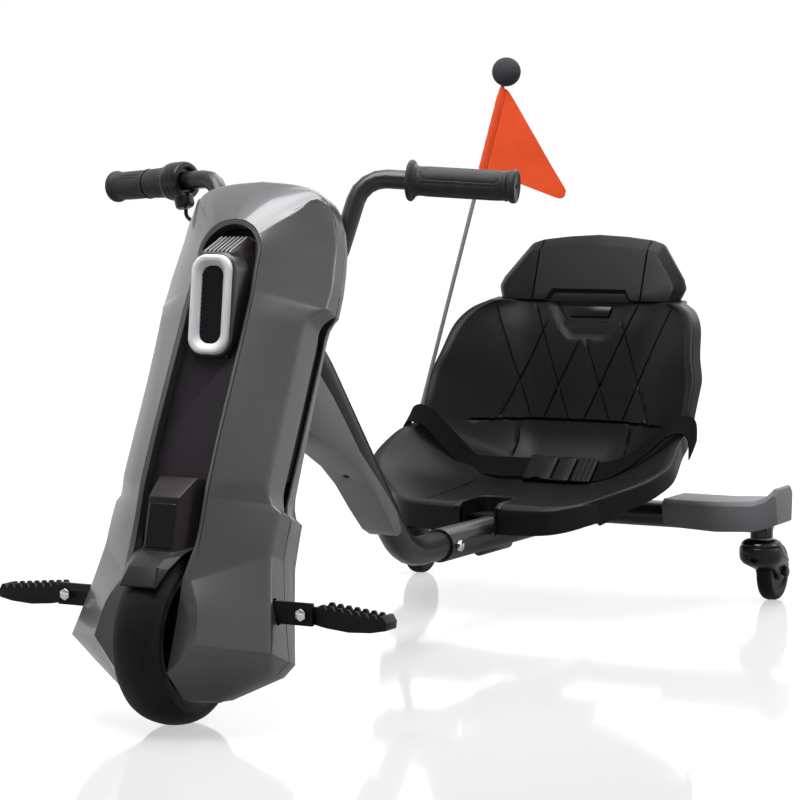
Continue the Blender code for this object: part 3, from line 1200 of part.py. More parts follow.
def build_peg(label, sign):
    """Bracket, pivot bolt and the toothed folding foot peg."""
    pivot = Vector((sign * PEG_PIVOT_X, PEG_BRACKET_Y, PEG_PIVOT_Z))
    low, high = sorted((sign * 0.0564, sign * 0.0604))
    foot = box((low, -0.5400, 0.1160), (high, -0.5120, 0.1500))
    bracket = add_object(f"peg_bracket_{label}", foot, "satin_black", STEER_AXIS)
    low, high = sorted((sign * 0.0580, sign * 0.1662))
    near = (low, PEG_BRACKET_Y - 0.0025, PEG_PIVOT_Z - 0.0125)
    join(bracket, "arm", box(near, (high, PEG_BRACKET_Y + 0.0025, PEG_PIVOT_Z + 0.0125)))
    stop = Vector((sign * 0.1632, PEG_BRACKET_Y, PEG_PIVOT_Z + 0.0010))
    join(bracket, "stop_pin", rod(stop - Vector((0, 0.0065, 0)), stop, 0.0016, 10))
    reach = Vector((0, 0.02, 0))
    cut(bracket, "pivot_bore", rod(pivot - reach, pivot + reach, 0.0032 + GAP, 12))
    head = pivot - Vector((0, 0.0025 + GAP + 0.0050, 0))
    bolt(f"peg_bolt_{label}", head, (0, 1, 0), 0.0070, 0.0050, 0.0032, 0.0185, STEER_AXIS)
    axis = empty(f"peg_{label}_axis", pivot, STEER_AXIS)
    top = []
    for index in range(PEG_TEETH):
        x = PEG_ROOT_X + PEG_TOOTH_PITCH * index
        fall = 0.0080 * index / PEG_TEETH
        root, crest = 0.1385 - fall, 0.1438 - fall
        top += [(x, root), (x + 0.0032, crest), (x + 0.0068, crest), (x + 0.0100, root)]
    end = PEG_ROOT_X + PEG_TOOTH_PITCH * PEG_TEETH
    outline = [(PEG_ROOT_X - 0.0060, 0.1405), *top, (end + 0.0010, 0.1300), (end, 0.1215)]
    outline += [(end - 0.0180, 0.1180), (end - 0.0450, 0.1165), (PEG_ROOT_X + 0.0100, 0.1190)]
    outline += [(PEG_ROOT_X - 0.0060, 0.1220)]
    width = PEG_FAR_Y - PEG_NEAR_Y
    flat = [(sign * x, z) for x, z in outline]
    body = prism(flat, (0, PEG_NEAR_Y, 0), (1, 0, 0), (0, 0, 1), (0, 1, 0), 0.0, width)
    peg = add_object(f"foot_peg_{label}", body, "rubber", axis)
    hollow_x = (PEG_ROOT_X - 0.0020 + end - 0.0060) / 2
    inside = width / 2 - PEG_WALL
    hollow = rounded_rectangle((end - PEG_ROOT_X - 0.0040) / 2, inside, inside - 0.0005, 3)
    middle = (sign * hollow_x, (PEG_NEAR_Y + PEG_FAR_Y) / 2, 0)
    cut(peg, "hollow", prism(hollow, middle, (1, 0, 0), (0, 1, 0), (0, 0, 1), 0.10, 0.16))
    tang = Vector((pivot.x, PEG_NEAR_Y, pivot.z))
    join(peg, "eye", rod(tang, tang + Vector((0, PEG_WALL, 0)), 0.0108, 16))
    low, high = sorted((sign * PEG_PIVOT_X, sign * (PEG_ROOT_X + 0.004)))
    join(peg, "tang", box((low, PEG_NEAR_Y, 0.1225), (high, PEG_NEAR_Y + PEG_WALL, 0.1410)))
    cut(peg, "pivot_bore", rod(pivot - reach, pivot + reach, 0.0032 + GAP, 12))


clear_scene()
FRONT_AXIS = empty("frame_slide_axis", (0.0, SLEEVE_FRONT_Y, SPINE_Z))
STEER_AXIS = empty("steering_axis", AXLE, FRONT_AXIS)
build_rear_frame()
build_lock()
build_seat()
build_badge()
build_belt()
build_flag()
build_front_frame()
build_tube_cover()
build_fork()
build_stem()
build_handlebar()
build_grips()
build_front_wheel()
build_front_fairing()
build_rear_fairing()
build_channel_panel()
build_lamp()
build_nose_cover()
build_electrics()
build_power_button()
for side_name, side_sign in SIDES:
    build_beam_cover(side_name, side_sign)
    build_caster(side_name, side_sign)
    build_fairing_band(side_name, side_sign)
    build_peg(side_name, side_sign)
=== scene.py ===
"""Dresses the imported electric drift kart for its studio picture.

Each sub-assembly is one class: it keeps a node and gives it a finish, or it models a fuller piece that stands
in the node's place. Lengths are in metres, +Z is up, the kart faces -Y and +X is the rider's left.
"""

import json
import logging
import math
from collections.abc import Callable, Iterable, Iterator, Mapping, Sequence
from contextlib import contextmanager
from dataclasses import dataclass
from enum import Enum
from typing import Any

import bmesh
import bpy
from mathutils import Matrix, Vector

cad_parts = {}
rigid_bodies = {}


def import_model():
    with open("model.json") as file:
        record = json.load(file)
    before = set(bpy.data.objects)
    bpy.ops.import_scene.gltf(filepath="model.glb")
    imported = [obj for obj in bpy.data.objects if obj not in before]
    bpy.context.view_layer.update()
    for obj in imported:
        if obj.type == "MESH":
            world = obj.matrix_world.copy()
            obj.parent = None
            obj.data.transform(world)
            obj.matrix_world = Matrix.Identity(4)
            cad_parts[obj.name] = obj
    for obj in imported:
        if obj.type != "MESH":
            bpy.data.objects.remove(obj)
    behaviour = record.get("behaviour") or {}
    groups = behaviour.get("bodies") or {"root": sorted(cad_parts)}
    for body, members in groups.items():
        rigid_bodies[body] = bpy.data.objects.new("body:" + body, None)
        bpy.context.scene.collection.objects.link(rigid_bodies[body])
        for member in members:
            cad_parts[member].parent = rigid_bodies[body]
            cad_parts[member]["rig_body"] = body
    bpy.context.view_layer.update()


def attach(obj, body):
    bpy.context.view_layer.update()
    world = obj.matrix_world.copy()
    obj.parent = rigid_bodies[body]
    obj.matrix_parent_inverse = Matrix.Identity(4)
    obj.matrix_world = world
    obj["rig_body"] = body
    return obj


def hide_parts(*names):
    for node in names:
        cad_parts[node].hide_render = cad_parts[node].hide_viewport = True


LOG = logging.getLogger("drift_kart")
WHITE = (1.0, 1.0, 1.0, 1.0)

Colour = tuple[float, float, float]
Point = Sequence[float]


class Body(str, Enum):
    """The CAD bodies that new pieces ride on."""

    REAR = "rear_frame"
    STEERING = "steering"
    WHEEL = "front_wheel"
    TWIST = "twist_sleeve"


class Slot(str, Enum):
    """The record's material slots."""

    GUNMETAL = "gunmetal"
    COVER = "gunmetal_cover"
    SATIN = "satin_black"
    SEAT = "seat_black"
    FRAME = "frame_black"
    TYRE = "tyre_black"
    PEG = "peg_black"
    GRIP = "grip_rubber"
    WEBBING = "webbing"
    CHROME = "chrome"
    STEEL = "steel"
    SILVER = "silver"
    MESH = "mesh_black"
    FLAG = "flag_orange"
    FOAM = "foam"
    POLE = "pole_grey"
    BATTERY = "battery_black"
    CONTROLLER = "controller_grey"


def from_screen(red: int, green: int, blue: int) -> Colour:
    """Turns a colour as a screen shows it into Blender's linear one.

    Args:
        red: Red from 0 to 255.
        green: Green from 0 to 255.
        blue: Blue from 0 to 255.

    Returns:
        The linear colour.
    """

    def linear(level: float) -> float:
        """One channel of the colour."""
        return level / 12.92 if level <= 0.04045 else ((level + 0.055) / 1.055) ** 2.4

    return linear(red / 255), linear(green / 255), linear(blue / 255)


class Socket:
    """An output of a material's node, which Python's operators work on."""

    def __init__(self, graph: "Graph", link: bpy.types.NodeSocket) -> None:
        """Keeps the graph and the node's own socket."""
        self.graph = graph
        self.link = link

    def _math(self, operation: str, *operands: "Socket | float") -> "Socket":
        """Adds one Math node for the operands."""
        return self.graph.add("ShaderNodeMath", {"operation": operation}, dict(enumerate(operands)))

    def __add__(self, other: "Socket | float") -> "Socket":
        """self + other"""
        return self._math("ADD", self, other)

    __radd__ = __add__

    def __rsub__(self, other: float) -> "Socket":
        """other - self"""
        return self._math("SUBTRACT", other, self)

    def __mul__(self, other: "Socket | float") -> "Socket":
        """self * other"""
        return self._math("MULTIPLY", self, other)

    __rmul__ = __mul__

    def wave(self) -> "Socket":
        """The sine of this value."""
        return self._math("SINE", self)

    def at_most(self, other: "Socket | float") -> "Socket":
        """The smaller of this value and another."""
        return self._math("MINIMUM", self, other)

    def rising(self, low: float, high: float) -> "Socket":
        """Goes smoothly from 0 at low to 1 at high."""
        inputs = {"Value": self, "From Min": low, "From Max": high}
        return self.graph.add("ShaderNodeMapRange", {"interpolation_type": "SMOOTHSTEP"}, inputs)


class Graph:
    """The node tree of a material or of the world."""

    MIX_FACTOR = 0
    MIX_A = 6
    MIX_B = 7
    MIX_RESULT = 2

    def __init__(self, owner: bpy.types.ID) -> None:
        """Empties the node tree of a material or a world.

        Args:
            owner: The material or the world.
        """
        owner.use_nodes = True
        self.owner = owner
        self.tree = owner.node_tree
        self.tree.nodes.clear()

    def add(
        self,
        kind: str,
        settings: Mapping[str, Any],
        inputs: Mapping[str | int, Any],
        output: str | int = 0,
    ) -> Socket:
        """Adds a node, sets it up and links it.

        Args:
            kind: The node's type in Blender.
            settings: Properties of the node.
            inputs: A number, colour or Socket for each named input.
            output: Which output to hand back.

        Returns:
            That output.
        """
        node = self.tree.nodes.new(kind)
        for key, value in settings.items():
            setattr(node, key, value)
        for key, value in inputs.items():
            if isinstance(value, Socket):
                self.tree.links.new(value.link, node.inputs[key])
            else:
                node.inputs[key].default_value = value
        return Socket(self, node.outputs[output])

    def place(self) -> Socket:
        """The point on the piece, in metres."""
        return self.add("ShaderNodeTexCoord", {}, {}, "Object")

    def noise(self, place: Socket, grain: float, detail: float = 2.0, roughness: float = 0.5) -> Socket:
        """Noise whose blobs are about one grain across."""
        inputs = {"Vector": place, "Scale": 1.0 / grain, "Detail": detail, "Roughness": roughness}
        return self.add("ShaderNodeTexNoise", {}, inputs, "Fac")

    def cells(self, place: Socket, size: float) -> Socket:
        """Distance inside cells of about that size."""
        return self.add("ShaderNodeTexVoronoi", {}, {"Vector": place, "Scale": 1.0 / size})

    def blend(self, factor: Socket, first: Colour, second: Colour) -> Socket:
        """Mixes two colours."""
        values = {self.MIX_FACTOR: factor, self.MIX_A: (*first, 1.0), self.MIX_B: (*second, 1.0)}
        return self.add("ShaderNodeMix", {"data_type": "RGBA"}, values, self.MIX_RESULT)

    def bump(self, height: Socket, depth: float) -> Socket:
        """A normal for a height from 0 to 1 that stands for a depth in metres."""
        return self.add("ShaderNodeBump", {}, {"Strength": 1.0, "Distance": depth, "Height": height}, "Normal")

    def ray(self, kind: str) -> Socket:
        """1 for rays of one kind and 0 for the others."""
        return self.add("ShaderNodeLightPath", {}, {}, f"Is {kind} Ray")

    def end(self, shader: Socket, output: str = "ShaderNodeOutputMaterial") -> bpy.types.ID:
        """Leads a shader to the output and hands back the tree's owner."""
        self.tree.links.new(shader.link, self.tree.nodes.new(output).inputs["Surface"])
        return self.owner

    def surface(self, inputs: Mapping[str, Any]) -> bpy.types.Material:
        """Ends the tree in one Principled shader."""
        return self.end(self.add("ShaderNodeBsdfPrincipled", {}, inputs))


@dataclass(frozen=True)
class Finish:
    """A finish that is made once and shared by the pieces that have it."""

    name: str
    colour: Colour

    def material(self) -> bpy.types.Material:
        """The Blender material of this finish, made on first use."""
        return bpy.data.materials.get(self.name) or self.build(Graph(bpy.data.materials.new(self.name)))

    def tint(self, factor: float, lift: float = 0.0) -> Colour:
        """The finish's colour, paler or darker."""
        return tuple(min(1.0, level * factor + lift) for level in self.colour)

    def build(self, graph: Graph) -> bpy.types.Material:
        """Fills the graph and hands back its material."""
        raise NotImplementedError


@dataclass(frozen=True)
class MouldedPlastic(Finish):
    """Moulded plastic with a fine grain, slight mottling and duller patches."""

    roughness: float = 0.5
    grain: float = 0.0011
    depth: float = 0.00008
    mottle: float = 0.10
    specular: float = 0.5

    def build(self, graph: Graph) -> bpy.types.Material:
        """Fills the graph and hands back its material.

        Args:
            graph: The finish's empty node tree.

        Returns:
            The material.
        """
        place = graph.place()
        patches = graph.noise(place, 0.060, 3.0)
        grain = graph.noise(place, self.grain, 3.0, 0.6)
        low, high = 1 - self.mottle, 1 + self.mottle
        tone = (patches * (2 * self.mottle) + low).rising(low, high)
        return graph.surface({
            "Base Color": graph.blend(tone, self.tint(low), self.tint(high)),
            "Roughness": patches * 0.14 + grain * 0.08 + (self.roughness - 0.11),
            "Specular IOR Level": self.specular,
            "Normal": graph.bump(grain, self.depth),
        })


@dataclass(frozen=True)
class MetallicPaint(Finish):
    """Sprayed metallic paint with fine flakes under a clear coat."""

    roughness: float = 0.32
    metallic: float = 0.35
    coat: float = 0.55
    flake: float = 0.0006

    def build(self, graph: Graph) -> bpy.types.Material:
        """Fills the graph and hands back its material.

        Args:
            graph: The finish's empty node tree.

        Returns:
            The material.
        """
        place = graph.place()
        flakes = graph.cells(place, self.flake)
        clouds = graph.noise(place, 0.110, 3.0)
        peel = graph.noise(place, 0.0045, 2.0)
        tone = (clouds * 0.6 + flakes * 0.55).rising(0.25, 0.85)
        return graph.surface({
            "Base Color": graph.blend(tone, self.tint(0.90), self.tint(1.10)),
            "Metallic": self.metallic,
            "Roughness": clouds * 0.08 + flakes * 0.06 + (self.roughness - 0.07),
            "Specular IOR Level": 0.3,
            "Coat Weight": self.coat,
            "Coat Roughness": 0.10,
            "Normal": graph.bump(peel, 0.00003),
        })


@dataclass(frozen=True)
class PowderCoat(Finish):
    """Powder coating on steel tube, with its orange-peel skin."""

    roughness: float = 0.34

    def build(self, graph: Graph) -> bpy.types.Material:
        """Fills the graph and hands back its material.

        Args:
            graph: The finish's empty node tree.

        Returns:
            The material.
        """
        place = graph.place()
        peel = graph.noise(place, 0.0016, 2.0)
        patches = graph.noise(place, 0.035, 2.0)
        return graph.surface({
            "Base Color": graph.blend(patches, self.colour, self.tint(1.25)),
            "Roughness": patches * 0.10 + (self.roughness - 0.05),
            "Specular IOR Level": 0.3,
            "Coat Weight": 0.20,
            "Coat Roughness": 0.16,
            "Normal": graph.bump(peel, 0.00005),
        })


@dataclass(frozen=True)
class BareMetal(Finish):
    """Plated or turned metal with fine rub marks."""

    roughness: float = 0.22

    def build(self, graph: Graph) -> bpy.types.Material:
        """Fills the graph and hands back its material.

        Args:
            graph: The finish's empty node tree.

        Returns:
            The material.
        """
        place = graph.place()
        rubs = graph.noise(place, 0.0022, 4.0, 0.65)
        stains = graph.noise(place, 0.018, 2.0)
        return graph.surface({
            "Base Color": graph.blend(stains.rising(0.35, 0.75), self.colour, self.tint(0.72)),
            "Metallic": 1.0,
            "Roughness": rubs * 0.16 + (self.roughness - 0.08),
            "Normal": graph.bump(rubs, 0.00002),
        })


@dataclass(frozen=True)
class SoftRubber(Finish):
    """Rubber with a dry, slightly bloomed surface."""

    roughness: float = 0.68
    bloom: float = 0.35

    def build(self, graph: Graph) -> bpy.types.Material:
        """Fills the graph and hands back its material.

        Args:
            graph: The finish's empty node tree.

        Returns:
            The material.
        """
        place = graph.place()
        grain = graph.noise(place, 0.0008, 3.0, 0.6)
        bloom = graph.noise(place, 0.022, 4.0, 0.6)
        return graph.surface({
            "Base Color": graph.blend(bloom.rising(0.35, 0.70), self.colour, self.tint(1 + self.bloom, 0.004)),
            "Roughness": bloom * 0.12 + (self.roughness - 0.06),
            "Specular IOR Level": 0.16,
            "Normal": graph.bump(grain, 0.00010),
        })


@dataclass(frozen=True)
class Foam(Finish):
    """Open-cell foam of the flag's ball."""

    def build(self, graph: Graph) -> bpy.types.Material:
        """Fills the graph and hands back its material.

        Args:
            graph: The finish's empty node tree.

        Returns:
            The material.
        """
        place = graph.place()
        cells = graph.cells(place, 0.0013)
        clumps = graph.noise(place, 0.006, 3.0)
        return graph.surface({
            "Base Color": graph.blend((cells * 1.2).rising(0.15, 0.85), self.colour, self.tint(1.9)),
            "Roughness": clumps * 0.10 + 0.86,
            "Specular IOR Level": 0.2,
            "Normal": graph.bump(cells, 0.0006),
        })


@dataclass(frozen=True)
class WovenCloth(Finish):
    """Plain-woven cloth that follows the piece's UV map, laid out in metres."""

    thread: float = 0.0005
    depth: float = 0.00012
    roughness: float = 0.75
    sheen: float = 0.2
    specular: float = 0.15

    def build(self, graph: Graph) -> bpy.types.Material:
        """Fills the graph and hands back its material.

        Args:
            graph: The finish's empty node tree.

        Returns:
            The material.
        """
        flat = graph.add("ShaderNodeUVMap", {}, {})
        along = graph.add("ShaderNodeSeparateXYZ", {}, {"Vector": flat}, "X")
        across = graph.add("ShaderNodeSeparateXYZ", {}, {"Vector": flat}, "Y")
        turns = math.pi / self.thread
        weave = ((along * turns).wave() * (across * turns).wave()) * 0.5 + 0.5
        clouds = graph.noise(graph.place(), 0.030, 3.0)
        tone = (weave * 0.5 + clouds * 0.5).rising(0.15, 0.65)
        return graph.surface({
            "Base Color": graph.blend(tone, self.tint(0.72), self.colour),
            "Roughness": clouds * 0.10 + (self.roughness - 0.05),
            "Specular IOR Level": self.specular,
            "Sheen Weight": self.sheen,
            "Sheen Roughness": 0.5,
            "Normal": graph.bump(weave, self.depth),
        })


GUNMETAL = MetallicPaint("gunmetal_paint", from_screen(80, 80, 82))
RIM_GREY = MetallicPaint("gunmetal_rear_paint", from_screen(106, 106, 108), roughness=0.42)
COVER_GREY = MouldedPlastic(
    "cover_grey_plastic", from_screen(112, 112, 115), roughness=0.42, grain=0.0009, specular=0.3
)
SEAT_BLACK = MouldedPlastic("seat_black_plastic", from_screen(16, 16, 17), roughness=0.38, grain=0.0010, specular=0.15)
SATIN_BLACK = MouldedPlastic(
    "satin_black_plastic", from_screen(14, 14, 15), roughness=0.40, grain=0.0008, specular=0.14
)
PANEL_BLACK = MouldedPlastic(
    "panel_black_plastic", from_screen(38, 34, 38), roughness=0.38, grain=0.0008, specular=0.16
)
NOSE_BLACK = MouldedPlastic("nose_black_plastic", from_screen(34, 29, 33), roughness=0.34, grain=0.0008, specular=0.20)
GLOSS_BLACK = MouldedPlastic(
    "gloss_black_plastic", from_screen(16, 14, 17), roughness=0.24, grain=0.0012, depth=0.00003, specular=0.25
)
DOME_BLACK = MouldedPlastic(
    "dome_gloss_black", from_screen(12, 11, 13), roughness=0.16, grain=0.0020, depth=0.00001, specular=0.5
)
COWL_BLACK = MouldedPlastic("cowl_black_plastic", from_screen(44, 42, 45), roughness=0.32, grain=0.0009, specular=0.5)
# Near-black sheet under the vent fins: painted shade, standing in for the dark inside of the vent slots.
PAINTED_SHADE_BLACK = MouldedPlastic("cavity_black_plastic", from_screen(9, 8, 9), roughness=0.6, grain=0.0009, specular=0.05)
# Pale fins: their near-white colour is a painted highlight, standing in for the light caught on the vent ribs' edges.
FIN_PAINTED_HIGHLIGHT = MouldedPlastic("fin_grey_plastic", from_screen(205, 203, 206), roughness=0.35, grain=0.0009, specular=0.4)
HOUSING_BLACK = MouldedPlastic(
    "housing_black_plastic", from_screen(24, 23, 25), roughness=0.28, grain=0.0009, specular=0.24
)
BUCKLE_BLACK = MouldedPlastic(
    "buckle_black_plastic", from_screen(12, 12, 13), roughness=0.34, grain=0.0009, specular=0.1
)
PEG_BLACK = MouldedPlastic(
    "peg_black_plastic", from_screen(22, 21, 22), roughness=0.48, grain=0.0013, depth=0.0002, specular=0.16
)
FRAME_BLACK = PowderCoat("frame_black_powder", from_screen(24, 24, 25))
CHROME = BareMetal("chrome_plate", (0.62, 0.62, 0.63), roughness=0.14)
ZINC = BareMetal("zinc_plate", (0.45, 0.45, 0.46), roughness=0.32)
CAST_GREY = BareMetal("controller_casting", (0.34, 0.34, 0.35), roughness=0.45)
TYRE_BLACK = SoftRubber("tyre_black_rubber", from_screen(10, 10, 11), roughness=0.46)
CASTER_BLACK = SoftRubber("caster_black_rubber", from_screen(12, 11, 13), roughness=0.44)
CABLE_BLACK = SoftRubber("cable_black_sheath", from_screen(13, 13, 14), roughness=0.5)
GRIP_GREY = SoftRubber("grip_grey_rubber", from_screen(44, 44, 46), roughness=0.50)
LAMP_SILVER = MouldedPlastic("lamp_silver_plastic", from_screen(232, 233, 235), roughness=0.36, mottle=0.03)
MESH_BLACK = MouldedPlastic("lamp_mesh_black", from_screen(30, 27, 31), roughness=0.45, specular=0.2)
FLAG_CLOTH = WovenCloth("flag_orange_cloth", from_screen(238, 84, 38))
WEBBING = WovenCloth(
    "belt_black_webbing", from_screen(12, 12, 13), thread=0.0011, depth=0.0003, sheen=0.0, specular=0.05
)
FOAM_GREY = Foam("ball_grey_foam", from_screen(46, 45, 48))
POLE_GREY = PowderCoat("pole_grey_glassfibre", from_screen(118, 118, 120), roughness=0.4)
BATTERY_WRAP = MouldedPlastic("battery_wrap", from_screen(22, 22, 24), roughness=0.45, specular=0.2)


def glide(knots: Sequence[Sequence[float]], place: float, crisp: Iterable[int] = ()) -> list[float]:
    """Reads a smooth line through knots that doesn't swing past them.

    Args:
        knots: Rows of numbers.
        place: Where to read, counted in rows.
        crisp: The rows at which the line turns sharply.

    Returns:
        The numbers at that place.
    """
    index = min(max(int(place), 0), len(knots) - 2)
    share = place - index

    def slope(row: int, column: int) -> float:
        """The line's slope at a knot, as seen from this span.

        Args:
            row: The knot's number.
            column: Which of its values.

        Returns:
            The change in the value from one knot to the next.
        """
        span = knots[index + 1][column] - knots[index][column]
        if row in crisp or row in (0, len(knots) - 1):
            return span
        before = knots[row][column] - knots[row - 1][column]
        after = knots[row + 1][column] - knots[row][column]
        return 0.0 if before * after <= 0 else 2 * before * after / (before + after)

    values = []
    for column, (first, last) in enumerate(zip(knots[index], knots[index + 1])):
        start, end = slope(index, column), slope(index + 1, column)
        square, cube = share**2, share**3
        values.append(
            first * (2 * cube - 3 * square + 1)
            + start * (cube - 2 * square + share)
            + last * (3 * square - 2 * cube)
            + end * (cube - square)
        )
    return values


def read_off(knots: Sequence[tuple[float, float]], place: float) -> float:
    """The value at a place on the straight lines through (place, value) knots.

    Args:
        knots: Pairs of a place and a value, in order.
        place: Where to read.

    Returns:
        The value there.
    """
    for (low, first), (high, second) in zip(knots, knots[1:]):
        if place <= high:
            break
    share = min(max((place - low) / (high - low), 0.0), 1.0)
    return first + (second - first) * share


def rounded_outline(half_width: float, half_height: float, radius: float, steps: int = 8) -> list[tuple[float, float]]:
    """Corners of a rectangle with rounded corners, counter-clockwise.

    Args:
        half_width: Half its width.
        half_height: Half its height.
        radius: The corners' radius.
        steps: Steps in each corner.

    Returns:
        The corners.
    """
    points = []
    for quarter, (x, y) in enumerate(((1, 1), (-1, 1), (-1, -1), (1, -1))):
        for step in range(steps + 1):
            turn = math.radians(90 * quarter + 90 * step / steps)
            across = x * (half_width - radius) + radius * math.cos(turn)
            points.append((across, y * (half_height - radius) + radius * math.sin(turn)))
    return points


def smooth_path(knots: Sequence[Point], per_span: int = 6) -> list[Vector]:
    """Points on a smooth curve through the knots.

    Args:
        knots: The points that the curve passes.
        per_span: Steps from knot to knot.

    Returns:
        The curve's points.
    """
    points = [Vector(knot) for knot in knots]
    path = []
    for index in range(len(points) - 1):
        before = points[max(index - 1, 0)]
        first, last = points[index], points[index + 1]
        after = points[min(index + 2, len(points) - 1)]
        for step in range(per_span):
            share = step / per_span
            path.append(
                first
                + (last - before) * (0.5 * share)
                + (before * 2 - first * 5 + last * 4 - after) * (0.5 * share**2)
                + (first * 3 - before - last * 3 + after) * (0.5 * share**3)
            )
    return [*path, points[-1]]


class Piece:
    """One piece on the bench, shaped with Blender's own operators."""

    # Points closer than this become one, and a cut keeps this close to its plane, in metres.
    MERGE = 0.00002
    SLICE = 0.00001

    def __init__(self, obj: bpy.types.Object, name: str) -> None:
        """Takes an object and gives it the piece's name.

        Args:
            obj: The object in the scene.
            name: The piece's name.
        """
        obj.name = name
        obj.data.name = name
        self.obj = obj

    @staticmethod
    def put_down_all() -> None:
        """Leaves nothing selected, in object mode."""
        if bpy.context.mode != "OBJECT":
            bpy.ops.object.mode_set(mode="OBJECT")
        bpy.ops.object.select_all(action="DESELECT")

    @classmethod
    def from_node(cls, node: str, name: str) -> "Piece":
        """Copies a CAD node's solid and merges its loose triangles into one skin.

        Args:
            node: The CAD node to copy.
            name: The new piece's name.

        Returns:
            The piece, which has no body yet.
        """
        cls.put_down_all()
        obj = bpy.data.objects.new(name, bpy.data.objects[node].data.copy())
        bpy.context.scene.collection.objects.link(obj)
        piece = cls(obj, name)
        with piece.editing():
            bpy.ops.mesh.select_all(action="SELECT")
            bpy.ops.mesh.remove_doubles(threshold=cls.MERGE)
            bpy.ops.mesh.dissolve_limited(angle_limit=math.radians(1.0), delimit={"NORMAL"})
        if obj.data.has_custom_normals:
            bpy.ops.mesh.customdata_custom_splitnormals_clear()
        return piece

    @classmethod
    def fresh(cls, name: str) -> "Piece":
        """Takes up the primitive that was just added, with its place in its mesh.

        Args:
            name: The piece's name.

        Returns:
            The new piece.
        """
        piece = cls(bpy.context.object, name)
        piece.hold()
        bpy.ops.object.transform_apply(location=True, rotation=True, scale=True)
        return piece

    @classmethod
    def block(cls, name: str, low: Point, high: Point) -> "Piece":
        """A block between two corners.

        Args:
            name: The piece's name.
            low: The corner with the smallest numbers.
            high: The opposite corner.

        Returns:
            The new piece.
        """
        cls.put_down_all()
        low, high = Vector(low), Vector(high)
        bpy.ops.mesh.primitive_cube_add(size=1.0, location=(low + high) / 2, scale=high - low)
        return cls.fresh(name)

    @classmethod
    def rod(cls, name: str, start: Point, end: Point, radius: float, sides: int = 32) -> "Piece":
        """A round bar between two points.

        Args:
            name: The piece's name.
            start: The middle of one end.
            end: The middle of the other end.
            radius: Its radius.
            sides: How many sides it has round.

        Returns:
            The new piece.
        """
        cls.put_down_all()
        start, end = Vector(start), Vector(end)
        turn = (end - start).to_track_quat("Z", "Y").to_euler()
        length, middle = (end - start).length, (start + end) / 2
        bpy.ops.mesh.primitive_cylinder_add(vertices=sides, radius=radius, depth=length, location=middle, rotation=turn)
        return cls.fresh(name)

    @classmethod
    def ball(cls, name: str, centre: Point, radius: float, rings: int = 24) -> "Piece":
        """A ball.

        Args:
            name: The piece's name.
            centre: Its middle.
            radius: Its radius.
            rings: How many rings it has from pole to pole.

        Returns:
            The new piece.
        """
        cls.put_down_all()
        bpy.ops.mesh.primitive_uv_sphere_add(segments=rings * 2, ring_count=rings, radius=radius, location=centre)
        return cls.fresh(name)

    @classmethod
    def sheet(cls, name: str, columns: int, rows: int, place: Callable[[int, int], Point]) -> "Piece":
        """Lays a grid over a shape.

        Args:
            name: The piece's name.
            columns: How many faces lie across.
            rows: How many faces lie up.
            place: The point for a column and a row.

        Returns:
            The piece, with its doubles merged.
        """
        cls.put_down_all()
        bpy.ops.mesh.primitive_grid_add(x_subdivisions=columns, y_subdivisions=rows, size=2.0)
        piece = cls.fresh(name)
        with piece.editing() as mesh:
            for vert in mesh.verts:
                vert.co = place(round((vert.co.x + 1) / 2 * columns), round((vert.co.y + 1) / 2 * rows))
            bpy.ops.mesh.select_all(action="SELECT")
            bpy.ops.mesh.remove_doubles(threshold=cls.MERGE)
        return piece

    @classmethod
    def loft(cls, name: str, rings: Sequence[Sequence[Point]], caps: bool = True, closed: bool = True) -> "Piece":
        """Skins a piece over rings of points.

        Args:
            name: The piece's name.
            rings: The rings, each with as many points.
            caps: Whether the two ends are closed.
            closed: Whether each ring runs back to its start.

        Returns:
            The piece, with its faces pointing outwards.
        """
        around = len(rings[0])
        columns = around if closed else around - 1
        piece = cls.sheet(name, columns, len(rings) - 1, lambda column, row: rings[row][column % around])
        if caps:
            for ring in (rings[0], rings[-1]):
                piece.close_end([Vector(point) for point in ring])
        return piece.face_out()

    @classmethod
    def turned(cls, name: str, profile: Sequence[Point], start: Point, direction: Point, steps: int = 48) -> "Piece":
        """Turns a profile of (radius, distance) points about an axis.

        Args:
            name: The piece's name.
            profile: The profile, which ends on the axis or where it starts.
            start: The axis's first point.
            direction: Where the axis leads.
            steps: How many sides the turned piece gets.

        Returns:
            The piece, with its faces pointing outwards.
        """
        cls.put_down_all()
        start, axis = Vector(start), Vector(direction).normalized()
        side = axis.orthogonal().normalized()
        places = [start + side * radius + axis * along for radius, along in profile]
        bpy.ops.mesh.primitive_plane_add(size=0.001, location=places[0])
        piece = cls.fresh(name)
        with piece.editing():
            bpy.ops.mesh.select_all(action="SELECT")
            bpy.ops.mesh.merge(type="CENTER")
            for one, two in zip(places, places[1:]):
                bpy.ops.mesh.extrude_region_move(TRANSFORM_OT_translate={"value": two - one})
            bpy.ops.mesh.select_all(action="SELECT")
            bpy.ops.mesh.spin(steps=steps, angle=math.tau, center=start, axis=axis)
            bpy.ops.mesh.select_all(action="SELECT")
            bpy.ops.mesh.remove_doubles(threshold=cls.MERGE)
        return piece.face_out()

    @classmethod
    def tube(cls, name: str, path: Sequence[Vector], radius: float, sides: int = 24) -> "Piece":
        """A round tube along a path.

        Args:
            name: The piece's name.
            path: The points on the tube's middle line.
            radius: Its radius.
            sides: How many sides it has round.

        Returns:
            The new piece.
        """
        rings = []
        side = (path[1] - path[0]).orthogonal().normalized()
        for index, point in enumerate(path):
            ahead = (path[min(index + 1, len(path) - 1)] - path[max(index - 1, 0)]).normalized()
            side = (side - ahead * side.dot(ahead)).normalized()
            other = ahead.cross(side)
            turns = [math.tau * step / sides for step in range(sides)]
            rings.append([point + (side * math.cos(turn) + other * math.sin(turn)) * radius for turn in turns])
        return cls.loft(name, rings)

    def hold(self) -> None:
        """Makes this the only selected and the active object."""
        self.put_down_all()
        self.obj.select_set(True)
        bpy.context.view_layer.objects.active = self.obj

